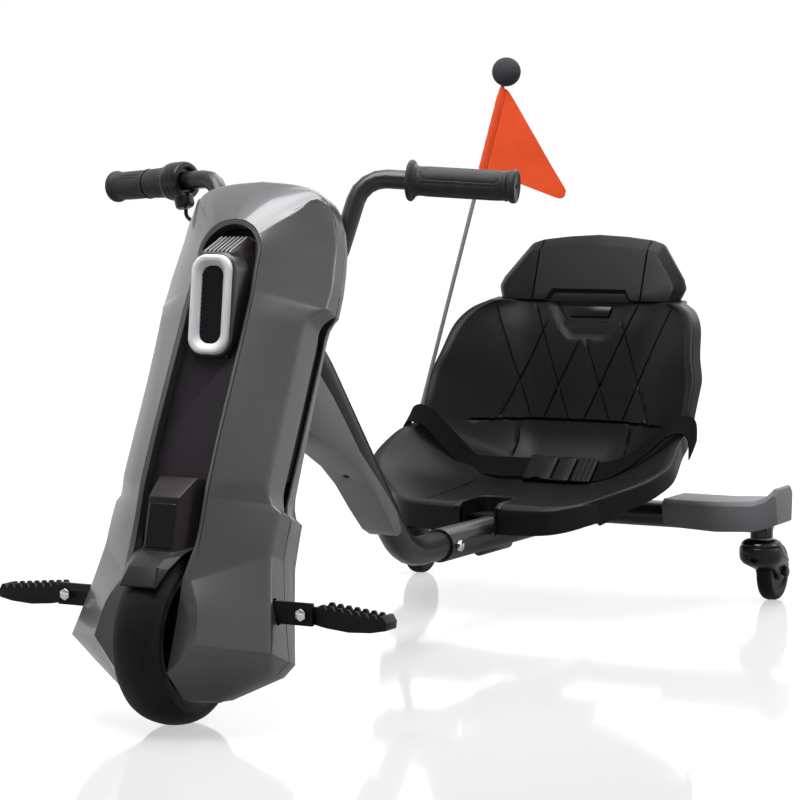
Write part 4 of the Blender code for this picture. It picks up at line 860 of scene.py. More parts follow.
    @contextmanager
    def editing(self) -> Iterator[bmesh.types.BMesh]:
        """Edit mode with nothing selected, for the operators inside the block.

        Yields:
            The edit mesh.
        """
        self.hold()
        bpy.ops.object.mode_set(mode="EDIT")
        bpy.ops.mesh.select_mode(type="VERT")
        bpy.ops.mesh.select_all(action="DESELECT")
        yield bmesh.from_edit_mesh(self.obj.data)
        bpy.ops.object.mode_set(mode="OBJECT")

    def close_end(self, ring: Sequence[Vector]) -> None:
        """Fills the open edge that runs through the points of a ring.

        Args:
            ring: Points on that edge.
        """
        with self.editing() as mesh:
            for vert in mesh.verts:
                if vert.is_boundary and any((vert.co - point).length < 0.00004 for point in ring):
                    vert.select_set(True)
            mesh.select_flush(True)
            bpy.ops.mesh.edge_face_add()

    def face_out(self) -> "Piece":
        """Turns every face outwards.

        Returns:
            This piece.
        """
        with self.editing():
            bpy.ops.mesh.select_all(action="SELECT")
            bpy.ops.mesh.normals_make_consistent(inside=False)
        return self

    def face_to(self, direction: Point) -> "Piece":
        """Turns an open skin so that most of it faces a direction.

        Args:
            direction: Where it faces.

        Returns:
            This piece.
        """
        self.face_out()
        guide = Vector(direction)
        if sum(face.normal.dot(guide) * face.area for face in self.obj.data.polygons) < 0:
            with self.editing():
                bpy.ops.mesh.select_all(action="SELECT")
                bpy.ops.mesh.flip_normals()
        return self

    def reshape(self, place: Callable[[Vector], Point]) -> "Piece":
        """Moves every point of the mesh to where the function says.

        Args:
            place: Gives a point's new place.

        Returns:
            This piece.
        """
        with self.editing() as mesh:
            for vert in mesh.verts:
                vert.co = place(vert.co.copy())
        return self

    def modify(self, kind: str, **settings: Any) -> "Piece":
        """Adds a modifier, sets it up and applies it.

        Args:
            kind: The modifier's type in Blender.
            **settings: Its properties.

        Returns:
            This piece.
        """
        self.hold()
        modifier = self.obj.modifiers.new(kind.lower(), kind)
        for key, value in settings.items():
            setattr(modifier, key, value)
        bpy.ops.object.modifier_apply(modifier=modifier.name)
        return self

    def ease_edges(self, width: float, segments: int = 2, angle: float = 28.0) -> "Piece":
        """Rounds the edges that are sharper than an angle in degrees.

        Args:
            width: How far the rounding reaches.
            segments: Its steps.
            angle: The angle in degrees.

        Returns:
            This piece.
        """
        return self.modify(
            "BEVEL",
            width=width,
            segments=segments,
            limit_method="ANGLE",
            angle_limit=math.radians(angle),
            use_clamp_overlap=True,
            miter_outer="MITER_ARC",
        )

    def wall(self, thickness: float, offset: float = -1.0, even: bool = True) -> "Piece":
        """Gives an open skin a wall."""
        return self.modify("SOLIDIFY", thickness=thickness, offset=offset, use_even_offset=even, use_rim=True)

    def mirror(self) -> "Piece":
        """Adds the other side's half."""
        return self.modify("MIRROR", use_axis=(True, False, False), use_mirror_merge=True, merge_threshold=0.00005)

    def meet(self, other: "Piece", operation: str) -> "Piece":
        """Cuts or welds with another piece, which is used up.

        Args:
            other: The piece to use.
            operation: The boolean modifier's operation.

        Returns:
            This piece.
        """
        self.modify("BOOLEAN", object=other.obj, operation=operation, solver="EXACT")
        bpy.data.objects.remove(other.obj, do_unlink=True)
        return self

    def cut(self, other: "Piece") -> "Piece":
        """Takes another piece's shape away."""
        return self.meet(other, "DIFFERENCE")

    def weld(self, other: "Piece") -> "Piece":
        """Welds another piece on."""
        return self.meet(other, "UNION")

    def add_loose(self, *others: "Piece") -> "Piece":
        """Takes other pieces into this one's mesh as they are.

        Args:
            *others: The pieces, which are used up.

        Returns:
            This piece.
        """
        for other in others:
            self.hold()
            other.obj.select_set(True)
            bpy.ops.object.join()
        return self

    def copy(self, name: str) -> "Piece":
        """A second piece with its own mesh.

        Args:
            name: The second piece's name.

        Returns:
            The second piece.
        """
        self.hold()
        bpy.ops.object.duplicate(linked=False)
        return Piece(bpy.context.object, name)

    def score(
        self,
        start: Point,
        end: Point,
        through: Point,
        half_width: float,
        depth: float,
        near: float = 0.03,
        runs_on: tuple[bool, bool] = (False, False),
    ) -> None:
        """Cuts a groove along a straight line that is seen along a direction.

        Args:
            start: One end of the line.
            end: The other end.
            through: The direction in which the line is pressed in.
            half_width: Half the groove's width.
            depth: Its depth.
            near: How far from the line a face may lie and still be cut.
            runs_on: Whether the groove goes on past its start and its end, where it then keeps its full depth.
        """
        start, end, through = Vector(start), Vector(end), Vector(through).normalized()
        flat = (end - start) - through * (end - start).dot(through)
        length = flat.length
        ahead = flat.normalized()
        side = ahead.cross(through).normalized()

        def seen(place: Vector) -> tuple[float, float, float]:
            """A point's distance along the line, beside it and behind it.

            Args:
                place: The point.

            Returns:
                The three distances.
            """
            away = place - start
            along = away.dot(ahead)
            on_line = start.lerp(end, min(max(along / length, 0.0), 1.0))
            return along, away.dot(side), (place - on_line).dot(through)

        with self.editing() as mesh:
            for shift in (-half_width, 0.0, half_width):
                bpy.ops.mesh.select_all(action="DESELECT")
                bpy.ops.mesh.select_mode(type="FACE")
                for face in mesh.faces:
                    places = [seen(vert.co) for vert in face.verts]
                    reaches = max(p[0] for p in places) > 0 and min(p[0] for p in places) < length
                    across = min(p[1] for p in places) <= shift <= max(p[1] for p in places)
                    if reaches and across and abs(places[0][2]) < near:
                        face.select_set(True)
                bpy.ops.mesh.bisect(plane_co=start + side * shift, plane_no=side, threshold=self.SLICE)
            for vert in mesh.verts:
                along, beside, behind = seen(vert.co)
                if abs(beside) < 0.00003 and 0 <= along <= length and abs(behind) < near:
                    ends = [away / (3 * half_width) + 0.15 for away in (along, length - along)]
                    taper = min(1.0, *(1.0 if open_end else end for end, open_end in zip(ends, runs_on)))
                    vert.co += through * depth * taper

    def press(self, outline: Sequence[Point], through: Point, depth: float, slope: float, near: float = 0.03) -> None:
        """Presses a convex pocket with sloping sides into the skin.

        Args:
            outline: The pocket's corners, counter-clockwise as they are seen along the direction.
            through: The direction in which it is pressed in.
            depth: How deep its floor lies.
            slope: How wide its sloping sides are.
            near: How far in front of or behind the outline the skin may lie.
        """
        through = Vector(through).normalized()
        corners = [Vector(point) for point in outline]
        middle = sum(corners, Vector()) / len(corners)
        sides = []
        for one, two in zip(corners, corners[1:] + corners[:1]):
            inward = through.cross(two - one).normalized()
            if (middle - one).dot(inward) < 0:
                inward = -inward
            sides.append((one, inward))
        reach = max((corner - middle).length for corner in corners)

        def inside(place: Vector) -> float:
            """How far inside the outline a point lies."""
            return min((place - corner).dot(inward) for corner, inward in sides)

        with self.editing() as mesh:
            for corner, inward in sides:
                for shift in (0.0, slope):
                    bpy.ops.mesh.select_all(action="DESELECT")
                    bpy.ops.mesh.select_mode(type="FACE")
                    for face in mesh.faces:
                        away = face.calc_center_median() - middle
                        if (away - through * away.dot(through)).length < reach + 0.02 and abs(away.dot(through)) < near:
                            face.select_set(True)
                    bpy.ops.mesh.bisect(plane_co=corner + inward * shift, plane_no=inward, threshold=self.SLICE)
            for vert in mesh.verts:
                level = inside(vert.co)
                if level > 0 and abs((vert.co - middle).dot(through)) < near:
                    vert.co += through * depth * min(level / slope, 1.0)

    def shade(self, angle: float = 35.0) -> "Piece":
        """Shades the skin smooth, apart from edges sharper than an angle in degrees.

        Args:
            angle: The angle in degrees.

        Returns:
            This piece.
        """
        self.hold()
        bpy.ops.object.shade_smooth_by_angle(angle=math.radians(angle))
        return self

    def done(self, body: Body | str, finish: Finish, slot: Slot, *nodes: str) -> bpy.types.Object:
        """Gives the piece its finish, its body and the nodes that it stands for.

        Args:
            body: The CAD body that it rides on.
            finish: The finish that covers it.
            slot: The record's slot for that finish; not used.
            *nodes: The CAD nodes that it replaces.

        Returns:
            The finished object.
        """
        self.obj.data.materials.clear()
        self.obj.data.materials.append(finish.material())
        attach(self.obj, str(body.value if isinstance(body, Body) else body))
        if nodes:
            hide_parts(*nodes)
        LOG.info("%s: %d faces on %s", self.obj.name, len(self.obj.data.polygons), self.obj["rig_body"])
        return self.obj


@dataclass
class Restyle:
    """How a CAD node's own solid is eased and finished."""

    finish: Finish
    slot: Slot
    edge: float = 0.0
    angle: float = 28.0
    smooth: float = 35.0

    def apply(self, *nodes: str) -> None:
        """Makes the eased copy of each CAD node and hides the node.

        Args:
            *nodes: The CAD nodes.
        """
        for node in nodes:
            body = bpy.data.objects[node]["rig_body"]
            piece = Piece.from_node(node, f"{node}_finished")
            if self.edge > 0:
                piece.ease_edges(self.edge, angle=self.angle)
            piece.shade(self.smooth).done(body, self.finish, self.slot, node)


@dataclass
class Studio:
    """Floor, lights and camera."""

    focal_pixels: float = 2600.0
    picture: float = 800.0
    azimuth: float = 27.87
    pitch: float = 4.70
    eye: Vector = Vector((1.5451, -2.9356, 0.5935))
    floor_size: float = 60.0
    sensor: float = 36.0
    clear_ring: tuple[float, float] = (1.0, 2.6)
    mirror_share: float = 0.34
    soft_level: float = 0.14

    def build(self) -> None:
        """Sets up everything round the kart."""
        self.place_camera()
        self.lay_floor()
        self.hang_lights()
        self.paint_world()

    def place_camera(self) -> None:
        """Puts the camera where the photograph was taken from."""
        camera = bpy.data.cameras.new("camera")
        camera.sensor_width = self.sensor
        camera.lens = self.focal_pixels * self.sensor / self.picture
        camera.clip_end = 100.0
        obj = bpy.data.objects.new("camera", camera)
        bpy.context.scene.collection.objects.link(obj)
        turn, dip = math.radians(self.azimuth), math.radians(self.pitch)
        ahead = Vector((-math.sin(turn) * math.cos(dip), math.cos(turn) * math.cos(dip), -math.sin(dip)))
        obj.location = self.eye
        obj.rotation_euler = ahead.to_track_quat("-Z", "Y").to_euler()
        bpy.context.scene.camera = obj

    def lay_floor(self) -> None:
        """A plain white floor that keeps the kart's shadow and a faint reflection near it."""
        Piece.put_down_all()
        bpy.ops.mesh.primitive_plane_add(size=self.floor_size)
        floor = bpy.context.object
        floor.name = "floor"
        graph = Graph(bpy.data.materials.new("studio_floor"))
        camera, shiny, clear = (graph.ray(kind) for kind in ("Camera", "Glossy", "Transmission"))
        away = graph.add("ShaderNodeVectorMath", {"operation": "LENGTH"}, {0: graph.place()}, "Value")
        far = away.rising(*self.clear_ring)
        shown = (camera + clear + shiny * (far * 0.75 + 0.25)).at_most(1.0)
        paint = graph.add("ShaderNodeBsdfDiffuse", {}, {"Color": (0.40, 0.40, 0.40, 1.0)})
        glow = graph.add("ShaderNodeEmission", {}, {"Color": WHITE, "Strength": shown * (far * 0.22 + 0.78)})
        lit = graph.add("ShaderNodeAddShader", {}, {0: paint, 1: glow})
        gloss = graph.add("ShaderNodeBsdfGlossy", {}, {"Color": WHITE, "Roughness": 0.07})
        share = (1 - far) * camera * self.mirror_share
        floor.data.materials.append(graph.end(graph.add("ShaderNodeMixShader", {}, {0: share, 1: lit, 2: gloss})))

    def hang_lights(self) -> None:
        """Soft boxes: two overhead, a weaker one on each side and one behind."""
        self.soft_box("top_light", Vector((-0.1, -0.70, 1.85)), 1.1, 34.0)
        self.soft_box("seat_light", Vector((0.1, 0.55, 2.0)), 1.2, 18.0)
        self.soft_box("left_light", Vector((-2.4, -0.2, 1.5)), 1.2, 1.5)
        self.soft_box("right_light", Vector((2.2, 1.2, 1.3)), 1.2, 14.0)
        self.soft_box("rear_light", Vector((0.2, 2.3, 2.2)), 1.8, 24.0)

    def soft_box(self, name: str, place: Vector, size: float, power: float) -> None:
        """One square area light that faces the kart's middle.

        Args:
            name: The lamp's name.
            place: Where it hangs.
            size: Its side in metres.
            power: Its power in watts.
        """
        lamp = bpy.data.lights.new(name, "AREA")
        lamp.size = size
        lamp.energy = power
        obj = bpy.data.objects.new(name, lamp)
        bpy.context.scene.collection.objects.link(obj)
        obj.location = place
        obj.rotation_euler = (Vector((0, 0, 0.35)) - place).to_track_quat("-Z", "Y").to_euler()

    def paint_world(self) -> None:
        """White where the camera, gloss or glass sees it, dimmer for gloss in front, and a soft grey as light."""
        world = bpy.data.worlds.new("studio")
        bpy.context.scene.world = world
        graph = Graph(world)
        towards = graph.add("ShaderNodeTexCoord", {}, {}, "Generated")
        ahead = graph.add("ShaderNodeSeparateXYZ", {}, {"Vector": towards}, "Y")
        limits = {"From Min": -0.95, "From Max": -0.15, "To Min": 0.22, "To Max": 1.0}
        front = graph.add("ShaderNodeMapRange", {}, {"Value": ahead, **limits})
        shown = graph.ray("Camera") + graph.ray("Transmission") + graph.ray("Glossy") * front
        level = shown.at_most(1.0) * (1 - self.soft_level) + self.soft_level
        back = graph.add("ShaderNodeBackground", {}, {"Color": WHITE, "Strength": level})
        graph.end(back, "ShaderNodeOutputWorld")


def soften(points: Sequence[Vector], radii: Sequence[float], steps: int = 4) -> list[Vector]:
    """Rounds the corners of a line of points.

    Args:
        points: The line's corners.
        radii: How far from each corner its rounding starts, 0 to keep the corner.
        steps: How many spans a rounding gets.

    Returns:
        The points of the rounded line.
    """
    line = []
    for index, (corner, radius) in enumerate(zip(points, radii)):
        if radius <= 0:
            line.append(corner)
            continue
        ends = []
        for other in (points[index - 1], points[index + 1]):
            away = other - corner
            ends.append(corner + away * min(radius / max(away.length, 1e-6), 0.48))
        for step in range(steps + 1):
            share = step / steps
            line.append(ends[0] * (1 - share) ** 2 + corner * (2 * share * (1 - share)) + ends[1] * share**2)
    return line


@dataclass
class BucketSeat:
    """One-piece bucket with its quilted backrest, its headrest and the plain badge."""

    wall: float = 0.005
    rim: float = 0.012
    skirt: float = 0.023
    front_skirt: float = 0.0355
    notch_half: float = 0.0262
    notch_end: float = 0.283
    rim_rounding: float = 0.0045
    groove: float = 0.0017
    groove_depth: float = 0.0020
    rows_per_section: int = 6
    sections: tuple[tuple[float, ...], ...] = (
        (0.086, 0.157, 0.222, 0.1645, 0.259, 0.1680, 2.4),
        (0.078, 0.170, 0.235, 0.1648, 0.269, 0.1740, 2.4),
        (0.070, 0.182, 0.250, 0.1650, 0.280, 0.1810, 2.4),
        (0.050, 0.216, 0.300, 0.1655, 0.312, 0.1990, 2.1),
        (0.048, 0.2285, 0.345, 0.1672, 0.346, 0.2160, 2.0),
        (0.048, 0.220, 0.400, 0.1710, 0.398, 0.2420, 1.9),
        (0.050, 0.213, 0.455, 0.1785, 0.434, 0.2510, 1.8),
        (0.056, 0.209, 0.505, 0.1885, 0.450, 0.2640, 1.6),
        (0.066, 0.2085, 0.529, 0.2220, 0.459, 0.2840, 1.5),
        (0.072, 0.2085, 0.540, 0.2650, 0.474, 0.3150, 1.5),
        (0.076, 0.199, 0.552, 0.3300, 0.492, 0.3520, 1.6),
        (0.080, 0.190, 0.564, 0.3860, 0.517, 0.3900, 1.8),
        (0.080, 0.173, 0.5722, 0.4125, 0.540, 0.4135, 2.2),
        (0.080, 0.150, 0.5762, 0.4255, 0.556, 0.4255, 2.6),
    )
    quilting: tuple[tuple[tuple[float, float], ...], ...] = (
        ((0.1400, 0.4180), (0.0942, 0.3075), (0.0725, 0.2526)),
        ((0.0815, 0.4210), (0.0650, 0.3810), (0.0328, 0.3020), (0.0120, 0.2528)),
        ((0.0583, 0.3968), (0.0942, 0.3075), (0.1172, 0.2526)),
        ((0.0048, 0.3685), (0.0328, 0.3020), (0.0525, 0.2526)),
    )
    crease: tuple[tuple[float, float], ...] = ((0.0, 0.2512), (0.070, 0.2508), (0.112, 0.2500), (0.156, 0.2490))
    lower_seam: tuple[tuple[float, float], ...] = ((0.0868, 0.2440), (0.0862, 0.2180), (0.0885, 0.1945))
    pan_seam: tuple[tuple[float, float], ...] = ((0.0900, 0.4020), (0.0890, 0.3400), (0.0885, 0.2320))

    def line_across(self, place: float) -> list[Vector]:
        """Points from the middle to the skirt at a place counted in sections, with the rim's corners rounded.

        Args:
            place: The place, 0 for the first section.

        Returns:
            The points.
        """
        flat, half, middle_y, middle_z, rim_y, rim_z, sharpness = glide(self.sections, place)
        upright = min(max((place - 5) / 4, 0.0), 1.0)
        line = [Vector((flat * step / 5, middle_y, middle_z)) for step in range(6)]
        bolster = half - self.rim
        for step in range(1, 15):
            share = step / 14
            across = flat + (bolster - flat) * share
            rise = share**sharpness * 0.96
            swept = ((across - flat) / (half - flat)) ** sharpness
            sweep_y = swept + (rise - swept) * upright
            line.append(Vector((across, middle_y + (rim_y - middle_y) * sweep_y, middle_z + (rim_z - middle_z) * rise)))
        rim = Vector((half, rim_y, rim_z))
        skirt = self.skirt + 0.007 * max(0.0, 1 - place / 4)
        down = Vector((0.003, skirt * upright, -skirt * (1 - upright)))
        radii = [0.0] * (len(line) - 1) + [self.rim_rounding, self.rim_rounding, 0.0]
        return soften([*line, rim, rim + down], radii)

    def net(self) -> list[list[Vector]]:
        """The half seat's rows of points, from the foot of the front skirt to the top of the backrest.

        Returns:
            The rows.
        """
        count = (len(self.sections) - 1) * self.rows_per_section
        rows = [self.line_across(step / self.rows_per_section) for step in range(count + 1)]
        edge, skirt = [], []
        low = rows[0][-1] - rows[0][-2]
        widest = rows[0][-2].x
        for point in rows[0][:-1]:
            corner = (point.x / widest) ** 4
            ahead = self.rim * 0.9 * (1 - corner)
            edge.append(point + Vector((0, -ahead, -ahead * 0.5)))
            skirt.append(edge[-1] + Vector((0, 0.002, -self.front_skirt)).lerp(low, corner))
        rows.insert(0, [*edge, skirt[-1]])
        rows.insert(0, [*skirt, skirt[-1]])
        behind = rows[-1][0].y + self.rim
        rows.append([Vector((point.x, behind, point.z + 0.003)) for point in rows[-1]])
        rows[-1][-1].z -= 0.003
        radii = [0.0, self.rim_rounding] + [0.0] * (count - 1) + [0.0, self.rim_rounding, 0.0]
        columns = [soften(column, radii) for column in zip(*rows)]
        return [list(row) for row in zip(*columns)]

    def depth_at(self, x: float, z: float) -> float:
        """Where the backrest lies, front to back, at a half width and a height.

        Args:
            x: The half width.
            z: The height.

        Returns:
            The depth.
        """
        knots = [(section[3], index) for index, section in enumerate(self.sections)]
        place = read_off(knots, z)
        best = min(self.line_across(place), key=lambda point: abs(point.x - x))
        return best.y

    def height_at(self, x: float, y: float) -> float:
        """Where the pan lies, up and down, at a half width and a depth.

        Args:
            x: The half width.
            y: The depth.

        Returns:
            The height.
        """
        knots = [(section[2], index) for index, section in enumerate(self.sections[:8])]
        best = min(self.line_across(read_off(knots, y)), key=lambda point: abs(point.x - x))
        return best.z

    def build(self) -> None:
        """Makes the shell, the headrest and the badge."""
        self.build_shell()
        self.build_headrest()
        self.build_badge()

    def build_shell(self) -> None:
        """The shell: a quilted skin with a wall, and a notch for the frame tube."""
        net = self.net()
        shell = Piece.sheet("seat_bucket", len(net[0]) - 1, len(net) - 1, lambda column, row: net[row][column])
        with shell.editing():
            bpy.ops.mesh.select_all(action="SELECT")
            bpy.ops.mesh.dissolve_degenerate(threshold=0.0002)
        shell.face_to((0, -0.6, 0.8))
        back = Vector((0, 1, -0.2))
        for line in self.quilting:
            self.score_back(shell, line, back, self.groove, self.groove_depth)
        self.score_back(shell, self.crease, Vector((0, 1, -0.1)), 0.0032, 0.0042)
        self.score_back(shell, self.lower_seam, Vector((0, 1, -0.6)), 0.0018, 0.0024)
        for one, two in zip(self.pan_seam, self.pan_seam[1:]):
            ends = [Vector((x, y, self.height_at(x, y))) for x, y in (one, two)]
            shell.score(ends[0], ends[1], (0, 0, -1), 0.0020, 0.0024, runs_on=(one is not self.pan_seam[0], True))
        shell.mirror()
        middle = Vector((0.006, 0.5700, 0.3965))
        up = Vector((0, 0.2957, 0.9553))
        soft = [(-0.069, 0.0305), (-0.046, -0.0150), (-0.029, -0.0300), (0.029, -0.0300), (0.046, -0.0150)]
        soft.append((0.069, 0.0305))
        shell.press([middle + Vector((x, 0, 0)) + up * z for x, z in soft], (0, 0.9553, -0.2957), 0.0026, 0.0085)
        pocket = [(-0.058, 0.0300), (-0.034, -0.0020), (0.034, -0.0020), (0.058, 0.0300)]
        shell.press([middle + Vector((x, 0, 0)) + up * z for x, z in pocket], (0, 0.9553, -0.2957), 0.0024, 0.0016)
        shell.wall(self.wall, even=False)
        shell.cut(self.tube_notch())
        shell.shade(38.0).done(Body.REAR, SEAT_BLACK, Slot.SEAT, "seat_shell")
        self.build_notch_rim()

    def score_back(
        self,
        shell: Piece,
        line: Sequence[tuple[float, float]],
        through: Vector,
        half_width: float,
        depth: float,
    ) -> None:
        """Scores a line of (half width, height) points into the backrest.

        Args:
            shell: The half seat.
            line: The line's corners.
            through: The direction in which it is pressed in.
            half_width: Half the groove's width.
            depth: The groove's depth.
        """
        for index, (one, two) in enumerate(zip(line, line[1:])):
            ends = [Vector((x, self.depth_at(x, z), z)) for x, z in (one, two)]
            runs_on = (index > 0 or one[0] < 0.001, index < len(line) - 2)
            shell.score(ends[0], ends[1], through, half_width, depth, runs_on=runs_on)

    def notch_plan(self, out: float, steps: int = 6) -> list[tuple[float, float]]:
        """The notch's outline as seen from above, that far outside its walls, from left to right.

        Args:
            out: How far outside.
            steps: Steps in each corner.

        Returns:
            The outline's points.
        """
        half, end = self.notch_half + out, self.notch_end + out
        radius = 0.014 + out
        points = [(-half, 0.2085), (-half, 0.2200), (-half, 0.2450)]
        for side, first in ((-1, 180.0), (1, 90.0)):
            for step in range(steps + 1):
                turn = math.radians(first - 90.0 * step / steps)
                across, up = side * (half - radius), end - radius
                points.append((across + radius * math.cos(turn), up + radius * math.sin(turn)))
        return [*points, (half, 0.2450), (half, 0.2200), (half, 0.2085)]

    def tube_notch(self) -> Piece:
        """The notch in the pan's front edge through which the frame tube passes.

        Returns:
            The piece that cuts it.
        """
        plan = self.notch_plan(0.0)
        plan = [(plan[0][0], 0.17), *plan[1:-1], (plan[-1][0], 0.17)]
        return Piece.loft("tube_notch", [[Vector((x, y, z)) for x, y in plan] for z in (0.10, 0.20)])

    def build_notch_rim(self) -> None:
        """The rolled rim of the notch and the wall that hangs from it."""

        def level(y: float) -> float:
            """The pan's height along the notch."""
            return 0.1650 - max(0.222 - y, 0.0) * 0.5

        rows = []
        for out, rise in ((0.0085, 0.0002), (0.0060, 0.0016), (0.0035, 0.0022), (0.0014, 0.0016), (0.0002, -0.0004)):
            rows.append([Vector((x, y, level(y) + rise)) for x, y in self.notch_plan(out)])
        for height in (-0.0040, -0.0360):
            rows.append([Vector((x, y, level(y) + height)) for x, y in self.notch_plan(0.0)])
        rim = Piece.loft("seat_notch_rim", rows, caps=False, closed=False)
        rim.face_to((0, 0, 1)).wall(0.0024, even=False).shade(50.0).done(Body.REAR, SEAT_BLACK, Slot.SEAT)

    def build_headrest(self) -> None:
        """The headrest: a face inside a broad chamfer, with two seams and a recess at its foot."""
        face = [(0, 0.5055), (0.045, 0.5030), (0.086, 0.499), (0.101, 0.496), (0.132, 0.455), (0.137, 0.444)]
        face.append((0.131, 0.425))
        edge = [(0, 0.5225), (0.045, 0.5200), (0.088, 0.515), (0.106, 0.5095), (0.144, 0.459), (0.150, 0.445)]
        edge.append((0.142, 0.425))
        rear = [(x * 0.97, 0.424 + (z - 0.424) * 0.97) for x, z in edge]
        rings = []
        for outline, behind in ((face, 0.0), (edge, 0.014), (rear, 0.030)):
            half = [Vector((x, 0.568 + (z - 0.424) * 0.37 + behind, z)) for x, z in outline]
            rings.append(half + [Vector((-point.x, point.y, point.z)) for point in reversed(half) if point.x > 0])
        rest = Piece.loft("seat_headrest", rings).ease_edges(0.0035, 3, 20.0)
        inward = Vector((0, 0.938, -0.347))
        for side in (-1, 1):
            low, high = Vector((side * 0.0862, 0.5600, 0.404)), Vector((side * 0.0862, 0.6260, 0.535))
            rest.score(low, high, inward, 0.0015, 0.0024, near=0.02)
        recess = [(-0.0700, 0.4230), (0.0750, 0.4230), (0.0610, 0.4430), (-0.0560, 0.4430)]
        corners = [Vector((x, 0.568 + (z - 0.424) * 0.37, z)) for x, z in recess]
        rest.press(corners, inward, 0.0060, 0.0050, near=0.008)
        rest.weld(Piece.block("neck", (-0.100, 0.5815, 0.4050), (0.100, 0.6040, 0.4500)).ease_edges(0.003))
        rest.shade(30.0).done(Body.REAR, SEAT_BLACK, Slot.SEAT)

    def build_badge(self) -> None:
        """A bare plate in the pocket below the headrest."""
        place = Vector((0.005, 0.5716, 0.4105))
        up, out = Vector((0, 0.2957, 0.9553)), Vector((0, -0.9553, 0.2957))
        outline = [(-0.0310, -0.0075), (0.0310, -0.0075), (0.0345, 0.0075), (-0.0345, 0.0075)]
        rings = [
            [place + Vector((x, 0, 0)) + up * z + out * (level - 0.0030) for x, z in outline]
            for level in (0.0006, 0.0026)
        ]
        plate = Piece.loft("seat_badge_plate", rings).ease_edges(0.0007)
        plate.shade().done(Body.REAR, GLOSS_BLACK, Slot.SATIN, "seat_badge")


@dataclass
class Rake:
    """The steering axis and the directions square to it, in which the front end is drawn."""

    axle: Vector = Vector((0.0, -0.537, 0.100))
    up: Vector = Vector((0.0, math.sin(math.radians(23.0)), math.cos(math.radians(23.0))))
    front: Vector = Vector((0.0, -math.cos(math.radians(23.0)), math.sin(math.radians(23.0))))

    def at(self, half: float, up: float, front: float) -> Vector:
        """World place of a point drawn as half width, height and front."""
        return self.axle + self.up * up + self.front * front + Vector((half, 0, 0))


RAKE = Rake()


